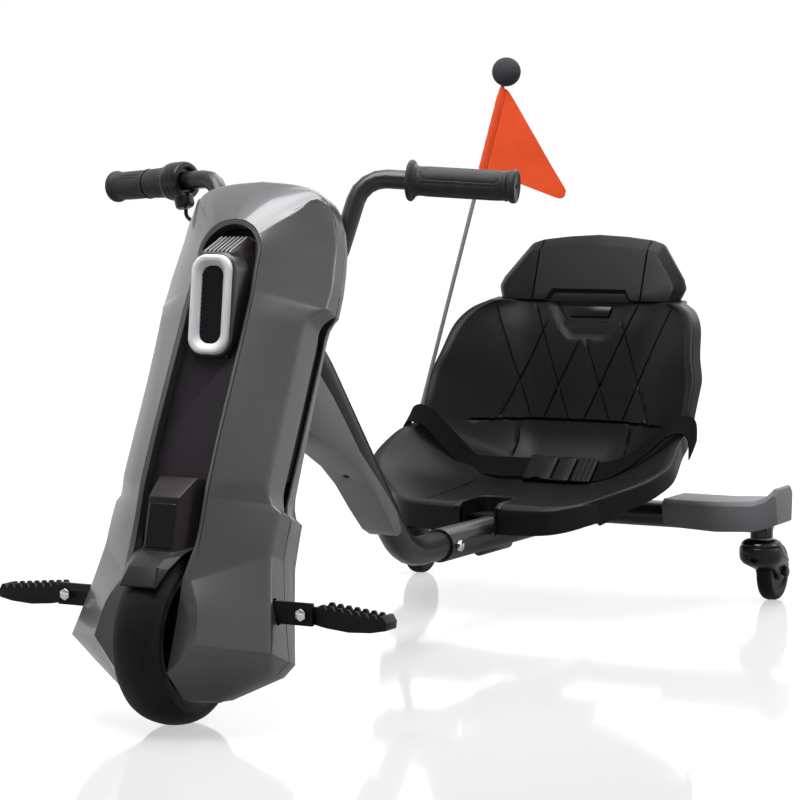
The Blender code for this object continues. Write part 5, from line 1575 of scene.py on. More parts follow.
@dataclass
class Fairing:
    """The painted front shell, the shell behind it and what lies between them."""

    wall: float = 0.0028
    slot_wall: float = 0.0170
    lip_width: float = 0.0062
    lip_drop: float = 0.0046
    line_width: float = 0.0008
    line_depth: float = 0.0014
    edge_rounding: float = 0.0052
    crown: float = 0.0024
    first_slot_station: int = 4
    crisp: tuple[int, ...] = (1, 3, 5, 6, 15, 20)
    brow: tuple[float, float, float] = (0.0790, 0.5085, 0.0285)
    brow_station: int = 20
    arch: tuple[tuple[float, ...], ...] = (
        (0.0330, -0.0744, 0.0140),
        (0.0336, -0.0555, 0.0590),
        (0.0338, 0, 0.0625),
        (0.0345, 0.0465, 0.0690),
    )
    ridge: tuple[tuple[float, ...], ...] = (
        (0.060, -0.0673, -0.0079),
        (0.066, -0.0229, 0.0642),
        (0.060, 0.015, 0.0655),
        (0.044, 0.0475, 0.0655),
    )
    slot_heights: tuple[float, ...] = (
        0.098, 0.130, 0.140, 0.148, 0.158, 0.200, 0.270, 0.335, 0.356, 0.366, 0.375, 0.385, 0.398, 0.412,
    )
    slot_half: tuple[tuple[float, float], ...] = (
        (0.0465, 0.0385), (0.150, 0.0395), (0.300, 0.0390), (0.380, 0.0380), (0.412, 0.0362),
    )
    slot_front: tuple[tuple[float, float], ...] = (
        (0.0465, 0.0655), (0.150, 0.0745), (0.229, 0.0735), (0.306, 0.0680), (0.380, 0.0655), (0.470, 0.0665),
    )
    slot_top: float = 0.4275
    slot_radius: float = 0.0362
    slot_turns: tuple[int, ...] = (6, 20, 34, 48, 62, 76, 90)
    outer: tuple[tuple[float, ...], ...] = (
        (0.1200, -0.0290, -0.0125, 0.0115),
        (0.1310, -0.0141, 0.0150, 0.0390),
        (0.1180, 0.0444, 0.0170, 0.0310),
        (0.1090, 0.0926, 0.0198, 0.0275),
        (0.1085, 0.1180, 0.0205, 0.0270),
        (0.1085, 0.1420, 0.0185, 0.0250),
        (0.1000, 0.1480, 0.0240, 0.0280),
        (0.0965, 0.1580, 0.0300, 0.0340),
        (0.0950, 0.1710, 0.0345, 0.0370),
        (0.0950, 0.2198, 0.0325, 0.0370),
        (0.0950, 0.2796, 0.0296, 0.0370),
        (0.0955, 0.3410, 0.0285, 0.0370),
        (0.0960, 0.3563, 0.0285, 0.0350),
        (0.0985, 0.3680, 0.0250, 0.0320),
        (0.1035, 0.3765, 0.0186, 0.0290),
        (0.1085, 0.3820, 0.0100, 0.0240),
        (0.1085, 0.4080, 0.0065, 0.0210),
        (0.1060, 0.4341, 0.0061, 0.0210),
        (0.1030, 0.4592, 0.0059, 0.0205),
        (0.0985, 0.4830, 0.0095, 0.0195),
        (0.0905, 0.5045, 0.0143, 0.0185),
        (0.0830, 0.5150, 0.0190, 0.0170),
        (0.0700, 0.5225, 0.0225, 0.0160),
        (0.0400, 0.5290, 0.0250, 0.0155),
        (0.0, 0.5321, 0.0260, 0.0150),
    )

    def slot_edge(self, station: int) -> Vector:
        """The face's inner edge at one station, drawn.

        Args:
            station: The station's number.

        Returns:
            The point, with its height up the shell and its place out of it.
        """
        if station < self.first_slot_station:
            return Vector(self.arch[station])
        index = station - self.first_slot_station
        if index < len(self.slot_heights):
            up = self.slot_heights[index]
            return Vector((read_off(self.slot_half, up), up, read_off(self.slot_front, up)))
        turn = math.radians(self.slot_turns[index - len(self.slot_heights)])
        up = self.slot_top + self.slot_radius * math.sin(turn)
        return Vector((self.slot_radius * math.cos(turn), up, read_off(self.slot_front, up)))

    def station(self, index: int) -> list[float]:
        """The numbers of one station: its inner edge, ridge, middle, outside and outer edge, side depth and lip.

        Args:
            index: The station's number.

        Returns:
            The numbers.
        """
        half, up, front, depth = self.outer[index]
        inner, outer = self.slot_edge(index), Vector((half, up, front))
        if index < self.first_slot_station:
            ridge, crown, lip = Vector(self.ridge[index]), Vector(), 0.0
        else:
            ridge, crown, lip = inner + (outer - inner).normalized() * self.lip_width, Vector((0, 0, self.crown)), 1.0
        middle = ridge.lerp(outer, 0.45) + crown
        outside = ridge.lerp(outer, 0.82) + crown * 0.6
        if index == self.brow_station:
            outside = Vector(self.brow)
            middle = ridge.lerp(outside, 0.55)
        return [*inner, *ridge, *middle, *outside, *outer, depth, lip]

    def line_across(self, numbers: Sequence[float]) -> list[Vector]:
        """Drawn points across the shell: the slot's wall, its lip, the dark line, the face and the side.

        Args:
            numbers: The numbers of that place, as station gives them.

        Returns:
            The points.
        """
        inner, ridge, middle, outside, outer = (Vector(numbers[start : start + 3]) for start in range(0, 15, 3))
        depth, lip = numbers[15], numbers[16]
        behind = Vector((0, 0, -1))
        away = (ridge - inner).normalized()
        low = inner + behind * self.lip_drop * lip
        shoulder = (ridge - away * 0.001).lerp(inner, 0.30 + 0.20 * (1 - lip))
        line = [inner + behind * self.slot_wall]
        for step in range(5):
            share = step / 5
            line.append(low * (1 - share) ** 2 + shoulder * (2 * share * (1 - share)) + ridge * share**2)
        along = (middle - ridge).normalized()
        line += [ridge - along * self.line_width, ridge + behind * self.line_depth * lip]
        line += [ridge + along * self.line_width, ridge + along * 0.0030 - behind * 0.0002 * lip]
        knots = [ridge, middle, outside, outer]
        for place in (0.3, 0.6, 1.0, 1.4, 1.7, 2.0, 2.4):
            line.append(Vector(glide([tuple(knot) for knot in knots], place)))
        side = outer + behind * depth
        line += soften([outside, outer, side], [0.0, self.edge_rounding, 0.0], 5)[1:]
        return line

    def places(self) -> list[float]:
        """Where the shell's rows lie, counted in stations, close together beside a crease.

        Returns:
            The places, in order.
        """
        rows = []
        for index in range(len(self.outer) - 1):
            rows += [index, index + 0.25, index + 0.5, index + 0.75]
            length = abs(self.outer[index + 1][1] - self.outer[index][1])
            near = min(0.0022 / max(length, 0.006), 0.2)
            if index in self.crisp:
                rows.append(index + near)
            if index + 1 in self.crisp:
                rows.append(index + 1 - near)
        return sorted({round(row, 4) for row in [*rows, len(self.outer) - 1]})

    def build(self) -> None:
        """Makes the front shell and finishes what lies behind it."""
        self.build_front()
        Restyle(RIM_GREY, Slot.GUNMETAL, 0.0016, 12.0, 32.0).apply("rear_fairing")
        Restyle(SATIN_BLACK, Slot.SATIN, 0.0008).apply("fairing_band_left", "fairing_band_right")
        Restyle(GLOSS_BLACK, Slot.SATIN, 0.0006).apply("power_button")
        Restyle(BATTERY_WRAP, Slot.BATTERY, 0.0015).apply("battery_pack")
        Restyle(CAST_GREY, Slot.CONTROLLER, 0.0010).apply("controller")

    def build_front(self) -> None:
        """The front shell, drawn on the rider's left and mirrored."""
        stations = [self.station(index) for index in range(len(self.outer))]
        rows = []
        for place in self.places():
            numbers = glide(stations, place, self.crisp)
            rows.append([RAKE.at(*point) for point in self.line_across(numbers)])
        foot = [point - RAKE.front * self.outer[0][3] for point in rows[0]]
        foot[0] = rows[0][0]
        foot[-1] = rows[0][-1]
        rows.insert(0, foot)
        columns, count = len(rows[0]) - 1, len(rows) - 1
        shell = Piece.sheet("fairing_front_shell", columns, count, lambda column, row: rows[row][column])
        shell.face_to(RAKE.front).mirror().wall(self.wall)
        shell.cut(Piece.block("bracket_slots", (-0.160, -0.5325, 0.1185), (0.160, -0.5230, 0.1475)))
        shell.shade(40.0).done(Body.STEERING, GUNMETAL, Slot.GUNMETAL, "front_fairing")


@dataclass
class Channel:
    """The recess down the front: its panel and vents, the lamp, and the box over the wheel."""

    lamp_centre: Vector = Vector((0.0, -0.4707, 0.4623))
    lamp_tilt: float = math.radians(6.4)
    ring_half_width: float = 0.0262
    ring_half_height: float = 0.0560
    ring_radius: float = 0.0180
    cell: float = 0.0031
    cell_wall: float = 0.0009
    cell_columns: int = 12
    cell_rows: int = 18
    fin_pitch: float = 0.0054

    def build(self) -> None:
        """Makes every piece in the recess."""
        Restyle(PANEL_BLACK, Slot.SATIN, 0.0010, 22.0, 32.0).apply("channel_panel")
        self.build_ring()
        self.build_mesh()
        self.build_cowl()
        self.build_fins()
        self.build_nose_box()

    def on_lamp(self, place: Vector) -> Vector:
        """World place of a point drawn flat: x across, y up the lamp and z out of its face.

        Args:
            place: The drawn point.

        Returns:
            The point in the world.
        """
        up = Vector((0.0, math.sin(self.lamp_tilt), math.cos(self.lamp_tilt)))
        out = Vector((0.0, -math.cos(self.lamp_tilt), math.sin(self.lamp_tilt)))
        return self.lamp_centre + Vector((place.x, 0, 0)) + up * place.y + out * place.z

    def lamp_outline(self, grow: float, level: float, rounder: float) -> list[Vector]:
        """The lamp's outline made larger all round, at a level over its face.

        Args:
            grow: How much larger.
            level: How far out of the face.
            rounder: What the corners' radius gains.

        Returns:
            The outline's points.
        """
        half_width, half_height = self.ring_half_width + grow, self.ring_half_height + grow
        outline = rounded_outline(half_width, half_height, self.ring_radius + rounder, 10)
        return [self.on_lamp(Vector((x, y, level))) for x, y in outline]

    def build_ring(self) -> None:
        """The ring: a rounded outer edge, a flat band and a slope down to the mesh."""
        profile = [(0.0, -0.0100), (0.0, -0.0034), (0.0006, -0.0014), (0.0018, -0.0003), (0.0034, 0.0)]
        profile += [(0.0064, -0.0001), (0.0070, -0.0006), (0.0116, -0.0046), (0.0122, -0.0056), (0.0122, -0.0100)]
        rings = [self.lamp_outline(-inset, level, -inset * 0.5) for inset, level in [*profile, profile[0]]]
        ring = Piece.loft("lamp_ring_bezel", rings, caps=False)
        ring.shade(40.0).done(Body.STEERING, LAMP_SILVER, Slot.SILVER, "lamp_ring")

    def build_cowl(self) -> None:
        """The rounded cowl behind the ring, a thin dark line away from it."""
        swell = ((0.0, -0.0090), (0.0, -0.0048), (0.0010, -0.0044), (0.0022, -0.0052), (0.0032, -0.0074))
        swell = (*swell, (0.0038, -0.0110), (0.0044, -0.0180), (0.0056, -0.0300))
        rings = [self.lamp_outline(out, level, out) for out, level in swell]
        cowl = Piece.loft("lamp_cowl", rings, caps=False)
        cowl.wall(0.0010, even=False).shade(50.0).done(Body.STEERING, COWL_BLACK, Slot.SATIN)

    def build_fins(self) -> None:
        """Thin blades on the slope above the lamp, pale as a painted highlight, over a near-black sheet of painted
        shade.
        """
        top, back = Vector((0, -0.4536, 0.5190)), Vector((0, -0.4160, 0.5345))
        along = (back - top).normalized()
        out = Vector((0, -along.z, along.y))

        def blade(x: float, half: float, start: float, end: float, low: float, high: float) -> list[list[Vector]]:
            """Two rings of a bar that lies up the slope.

            Args:
                x: The bar's middle, across.
                half: Half its width.
                start: Its front end up the slope.
                end: Its rear end.
                low: Its foot over the slope.
                high: Its top over the slope.

            Returns:
                The ring at each of its steps.
            """
            rings = []
            for place, height in ((start, high * 0.4), (start + 0.003, high), (end, high), (end + 0.001, high * 0.5)):
                corners = ((-half, low), (half, low), (half * 0.5, height), (-half * 0.5, height))
                foot = top + along * place
                rings.append([foot + out * level + Vector((x + beside, 0, 0)) for beside, level in corners])
            return rings

        # The sheet under the fins is near-black painted shade where the vent slots are dark.
        shade_sheet = Piece.loft("vent_bed", blade(0.0, 0.0190, 0.0010, 0.0440, -0.0020, 0.0006)).ease_edges(0.0004)
        shade_sheet.shade(30.0).done(Body.STEERING, PAINTED_SHADE_BLACK, Slot.SATIN)
        # The blades' pale finish is a painted highlight on the vent ribs' edges.
        first = Piece.loft("vent_fins", blade(-3 * self.fin_pitch, 0.00055, 0.0016, 0.0420, 0.0004, 0.0019))
        fins = [first.copy("fin") for _ in range(6)]
        for index, fin in enumerate(fins):
            fin.reshape(lambda point, shift=(index + 1) * self.fin_pitch: point + Vector((shift, 0, 0)))
        first.add_loose(*fins).shade(30.0).done(Body.STEERING, FIN_PAINTED_HIGHLIGHT, Slot.SATIN)

    def build_mesh(self) -> None:
        """The honeycomb: one cell with its wall, set out in staggered rows over a dark backing."""
        Piece.put_down_all()
        bpy.ops.mesh.primitive_circle_add(vertices=6, radius=self.cell / math.sqrt(3), fill_type="NGON")
        comb = Piece.fresh("lamp_honeycomb")
        step = self.cell * math.sqrt(3) / 2
        with comb.editing():
            bpy.ops.mesh.select_all(action="SELECT")
            bpy.ops.mesh.inset(thickness=self.cell_wall / 2)
            bpy.ops.mesh.extrude_region_move(TRANSFORM_OT_translate={"value": (0, 0, -0.0016)})
            bpy.ops.mesh.select_all(action="SELECT")
            bpy.ops.mesh.duplicate_move(TRANSFORM_OT_translate={"value": (self.cell / 2, step, 0)})
        for count, away in ((self.cell_columns, (self.cell, 0, 0)), (self.cell_rows, (0, 2 * step, 0))):
            comb.modify("ARRAY", count=count, use_relative_offset=False, use_constant_offset=True,
                        constant_offset_displace=away)
        shift = Vector((-(self.cell_columns - 0.5) * self.cell / 2, -(self.cell_rows - 0.5) * step, -0.0058))
        comb.reshape(lambda place: self.trimmed(place + shift))
        comb.shade(20.0).done(Body.STEERING, MESH_BLACK, Slot.MESH, "lamp_mesh")

    def trimmed(self, place: Vector) -> Vector:
        """Keeps a point of the honeycomb under the ring and sets it in the lamp.

        Args:
            place: The point, drawn flat.

        Returns:
            The point in the world.
        """
        half_width, half_height = self.ring_half_width - 0.0078, self.ring_half_height - 0.0078
        across = min(max(place.x, -half_width), half_width)
        up = min(max(place.y, -half_height), half_height)
        return self.on_lamp(Vector((across, up, place.z)))

    def build_nose_box(self) -> None:
        """The box over the wheel, with a plain plate let into its face."""
        box = Piece.from_node("nose_cover", "nose_box")
        box.ease_edges(0.0009, 2, 20.0).shade(34.0).done(Body.STEERING, NOSE_BLACK, Slot.SATIN, "nose_cover")
        out = Vector((0, -0.97157, 0.23673))
        up = Vector((0, 0.23673, 0.97157))
        middle = Vector((0, -0.5724, 0.2235)) + up * 0.0015
        rings = []
        for inset, level in ((0.0, -0.0010), (0.0, 0.0005), (0.0007, 0.0011)):
            outline = rounded_outline(0.0168 - inset, 0.0245 - inset, 0.0022, 4)
            rings.append([middle + Vector((x, 0, 0)) + up * y + out * level for x, y in outline])
        plate = Piece.loft("nose_plate", rings)
        plate.shade(30.0).done(Body.STEERING, GLOSS_BLACK, Slot.SATIN)


@dataclass
class Bars:
    """The handlebar with its grips, the twist throttle and the throttle cable."""

    bar_end: Vector = Vector((0.2715, -0.2479, 0.5931))
    bar_bend: Vector = Vector((0.0965, -0.288, 0.6035))
    grip_length: float = 0.128
    grip_radius: float = 0.0171
    grip_cap: float = 0.0034
    bore: float = 0.0115
    panels: int = 5
    panel_groove: float = 0.0006
    groove_half_width: float = 0.0008
    sides: int = 110
    twist: tuple[float, float] = (0.0300, 0.0655)
    lobe: Vector = Vector((0.30, -0.10, -0.95)).normalized()
    cable_radius: float = 0.0024
    cable_route: tuple[tuple[float, float, float], ...] = (
        (-0.118, -0.294, 0.544),
        (-0.088, -0.296, 0.531),
        (-0.062, -0.305, 0.520),
        (-0.045, -0.325, 0.512),
        (-0.036, -0.343, 0.508),
        (-0.033, -0.350, 0.500),
    )

    def grip_line(self, sign: float) -> tuple[Vector, Vector]:
        """A grip's inner end and the direction outwards, on the left for 1 and on the right for -1.

        Args:
            sign: 1 on the left and -1 on the right.

        Returns:
            The inner end and the direction.
        """
        direction = self.bar_end - self.bar_bend
        start = self.bar_end - direction.normalized() * (self.grip_length - self.grip_cap)
        turned = Vector((direction.x * sign, direction.y, direction.z)).normalized()
        return Vector((start.x * sign, start.y, start.z)), turned

    def build(self) -> None:
        """Makes the bar, both grips, the throttle and its cable."""
        Restyle(FRAME_BLACK, Slot.FRAME, smooth=60.0).apply("handlebar")
        Restyle(SATIN_BLACK, Slot.SATIN, 0.0010).apply("stem")
        Restyle(ZINC, Slot.STEEL, 0.0004).apply("steerer_nut")
        self.build_left_grip()
        self.build_right_grip()
        self.build_sleeve()
        self.build_housing()
        self.build_cable()

    def body_profile(self, low: float, high: float) -> list[tuple[float, float]]:
        """The grip's plain length as closely spaced rings."""
        count = int((high - low) / 0.0013)
        return [(self.grip_radius, low + (high - low) * step / count) for step in range(count + 1)]

    def end_profile(self) -> list[tuple[float, float]]:
        """The grip's outer end: two rings, a rolled flange and a dished face.

        Returns:
            Pairs of a radius and a place along the grip.
        """
        end = [(0.0166, 0.1130), (0.0166, 0.1138), (0.0174, 0.1146), (0.0177, 0.1160), (0.0174, 0.1174)]
        end += [(0.0166, 0.1182), (0.0168, 0.1192), (0.0182, 0.1202), (0.0192, 0.1218), (0.0194, 0.1240)]
        end += [(0.0190, 0.1262), (0.0180, 0.1276), (0.0164, 0.1280), (0.0156, 0.1277), (0.0150, 0.1270)]
        end += [(0.0040, 0.1268), (0.0032, 0.1262), (0.0030, 0.1250), (0.0, 0.1250)]
        return end

    def press_panels(self, piece: Piece, start: Vector, direction: Vector, low: float, high: float) -> None:
        """Presses the outlines of the long finger panels into a grip.

        Args:
            piece: The grip.
            start: The grip's inner end.
            direction: The way outwards.
            low: Where the panels start, along the grip.
            high: Where they end.
        """
        side = Vector((0, 0, 1)).cross(direction).normalized()
        top = direction.cross(side).normalized()
        pitch = math.tau / self.panels
        half_width = self.grip_radius * pitch * 0.41
        middle, half_length = (low + high) / 2, (high - low) / 2

        def pressed(place: Vector) -> Vector:
            """Lowers a point that lies on a panel's outline.

            Args:
                place: The point.

            Returns:
                Its new place.
            """
            along = (place - start).dot(direction)
            out = place - start - direction * along
            radius = out.length
            if radius < self.grip_radius - 0.0004 or not low - 0.001 < along < high + 0.001:
                return place
            turn = math.atan2(out.dot(side), out.dot(top)) - 0.35
            across = (turn - pitch * round(turn / pitch)) * self.grip_radius
            beyond = max(abs(along - middle) - (half_length - half_width), 0.0)
            edge = abs(math.hypot(beyond, across) - half_width)
            sunk = self.panel_groove * max(0.0, 1 - (edge / self.groove_half_width) ** 2)
            crown = 0.0005 * max(0.0, 1 - (math.hypot(beyond, across) / half_width) ** 2)
            return start + direction * along + out * ((radius - sunk + crown) / radius)

        piece.reshape(pressed)

    def build_left_grip(self) -> None:
        """The left grip with its rolled inner flange."""
        start, direction = self.grip_line(1)
        profile = [(self.bore, 0.0), (0.0205, 0.0), (0.0228, 0.0006), (0.0239, 0.0020), (0.0240, 0.0040)]
        profile += [(0.0228, 0.0056), (0.0205, 0.0066), (0.0188, 0.0076), (0.0180, 0.0092), (0.0178, 0.0108)]
        profile += [(0.0170, 0.0116), (0.0167, 0.0124)]
        profile += [*self.body_profile(0.0134, 0.1120), *self.end_profile(), (0.0, 0.1246), (self.bore, 0.1246)]
        grip = Piece.turned("left_grip_rubber", [*profile, profile[0]], start, direction, self.sides)
        self.press_panels(grip, start, direction, 0.0160, 0.1100)
        grip.shade(50.0).done(Body.STEERING, GRIP_GREY, Slot.GRIP, "left_grip")

    def build_right_grip(self) -> None:
        """The short fixed grip outside the twist sleeve."""
        start, direction = self.grip_line(-1)
        low = self.twist[1] + 0.0004
        profile = [(self.bore, low), (0.0180, low), (0.0184, low + 0.0008), (0.0180, low + 0.0018)]
        profile += [(0.0172, low + 0.0026), *self.body_profile(low + 0.0036, 0.1120), *self.end_profile()]
        profile += [(0.0, 0.1246), (self.bore, 0.1246)]
        grip = Piece.turned("right_grip_rubber", [*profile, profile[0]], start, direction, self.sides)
        self.press_panels(grip, start, direction, low + 0.0050, 0.1100)
        grip.shade(50.0).done(Body.STEERING, GRIP_GREY, Slot.GRIP, "right_grip")

    def build_sleeve(self) -> None:
        """The twist sleeve, with its slanting grooves."""
        start, direction = self.grip_line(-1)
        low, high = self.twist
        count = 34
        profile = [(self.bore + 0.0004, low), (0.0198, low), (0.0207, low + 0.0012), (0.0205, low + 0.0026)]
        profile.append((0.0192, low + 0.0040))
        profile += [(0.0186 - 0.0010 * step / count, low + 0.005 + (high - low - 0.007) * step / count)
                    for step in range(count + 1)]
        profile += [(0.0168, high - 0.0006), (0.0160, high), (self.bore + 0.0004, high)]
        sleeve = Piece.turned("twist_sleeve_rubber", [*profile, profile[0]], start, direction, self.sides)
        side = Vector((0, 0, 1)).cross(direction).normalized()
        top = direction.cross(side).normalized()

        def slanted(place: Vector) -> Vector:
            """Lowers a point that lies in one of the slanting grooves.

            Args:
                place: The point.

            Returns:
                Its new place.
            """
            along = (place - start).dot(direction)
            out = place - start - direction * along
            if out.length < 0.0160 or not low + 0.005 < along < high - 0.003:
                return place
            turn = math.atan2(out.dot(side), out.dot(top)) + (along - low) * 62.0
            beside = abs(turn / (math.tau / 7) - round(turn / (math.tau / 7))) * out.length * math.tau / 7
            sunk = 0.0007 * max(0.0, 1 - (beside / 0.0010) ** 2)
            return start + direction * along + out * (1 - sunk / out.length)

        sleeve.reshape(slanted).shade(50.0).done(Body.TWIST, GRIP_GREY, Slot.GRIP, "twist_sleeve")

    def build_housing(self) -> None:
        """The throttle housing: a ribbed drum with an open inner face and the lobe that lets the cable out."""
        start, direction = self.grip_line(-1)
        inner = self.twist[0] - 0.0008
        profile = [(self.bore, 0.0060), (0.0152, 0.0060), (0.0160, 0.0006), (0.0170, 0.0), (0.0196, 0.0)]
        profile += [(0.0218, 0.0010), (0.0230, 0.0032), (0.0235, 0.0065), (0.0235, 0.0130), (0.0228, 0.0136)]
        profile += [(0.0228, 0.0142), (0.0235, 0.0148), (0.0235, 0.0206), (0.0228, 0.0212), (0.0226, 0.0220)]
        profile += [(0.0231, 0.0228), (0.0228, 0.0262), (0.0218, 0.0284), (0.0205, inner), (self.bore, inner)]
        drum = Piece.turned("throttle_drum", [*profile, profile[0]], start, direction, 72)
        centre = start + direction * 0.0140
        lobe = Piece.rod("lobe", centre + self.lobe * 0.016, centre + self.lobe * 0.034, 0.0118, 40)
        drum.weld(lobe.ease_edges(0.0050, 5))
        drum.shade(35.0).done(Body.STEERING, HOUSING_BLACK, Slot.SATIN, "throttle_housing")

    def build_cable(self) -> None:
        """The throttle cable, from the lobe into the fairing."""
        start, direction = self.grip_line(-1)
        centre = start + direction * 0.0140
        knots = [centre + self.lobe * 0.0352, centre + self.lobe * 0.046, *self.cable_route]
        path = smooth_path(knots, 4)
        cable = Piece.tube("throttle_cable_sheath", path, self.cable_radius, 16).shade(60.0)
        cable.done(Body.STEERING, CABLE_BLACK, Slot.TYRE, "throttle_cable")
        length = sum((two - one).length for one, two in zip(path, path[1:]))


@dataclass
class DriveWheel:
    """The driven front wheel in its fork."""

    rim_radius: float = 0.068
    radius: float = 0.100

    def build(self) -> None:
        """Makes the tyre and finishes the hub, the axle and the fork."""
        self.build_tyre()
        Restyle(SATIN_BLACK, Slot.SATIN, 0.0008).apply("hub_motor")
        Restyle(ZINC, Slot.STEEL, 0.0006).apply("axle", "axle_nut_left", "axle_nut_right")
        Restyle(FRAME_BLACK, Slot.FRAME, 0.0010).apply("fork")

    def build_tyre(self) -> None:
        """The solid tyre: a round tread with a bead and fine rings on its shoulders."""
        half = [(self.rim_radius, -0.0225), (0.0690, -0.0243), (0.0708, -0.0256), (0.0730, -0.0262), (0.0742, -0.0272)]
        half += [(0.0770, -0.0286), (0.0800, -0.0295), (0.0836, -0.0300), (0.0850, -0.0299), (0.0854, -0.0294)]
        half += [(0.0860, -0.0296), (0.0888, -0.0281), (0.0915, -0.0262), (0.0936, -0.0239), (0.0940, -0.0231)]
        half += [(0.0946, -0.0230), (0.0961, -0.0201), (0.0976, -0.0163), (0.0987, -0.0120), (0.0995, -0.0072)]
        profile = [*half, (self.radius, -0.0024), (self.radius, 0.0024)]
        profile += [(radius, -along) for radius, along in reversed(half)]
        tyre = Piece.turned("front_tyre_rubber", [*profile, profile[0]], RAKE.axle, (1, 0, 0), 112)
        tyre.shade(45.0).done(Body.WHEEL, TYRE_BLACK, Slot.TYRE, "front_tyre")


@dataclass
class FootPegs:
    """The folding foot pegs on their brackets."""

    def build(self) -> None:
        """Finishes both sides."""
        for side in ("left", "right"):
            Restyle(PEG_BLACK, Slot.PEG, 0.0009, 24.0).apply(f"foot_peg_{side}")
            Restyle(SATIN_BLACK, Slot.SATIN, 0.0010).apply(f"peg_bracket_{side}")
            Restyle(CHROME, Slot.STEEL, 0.0009).apply(f"peg_bolt_{side}")


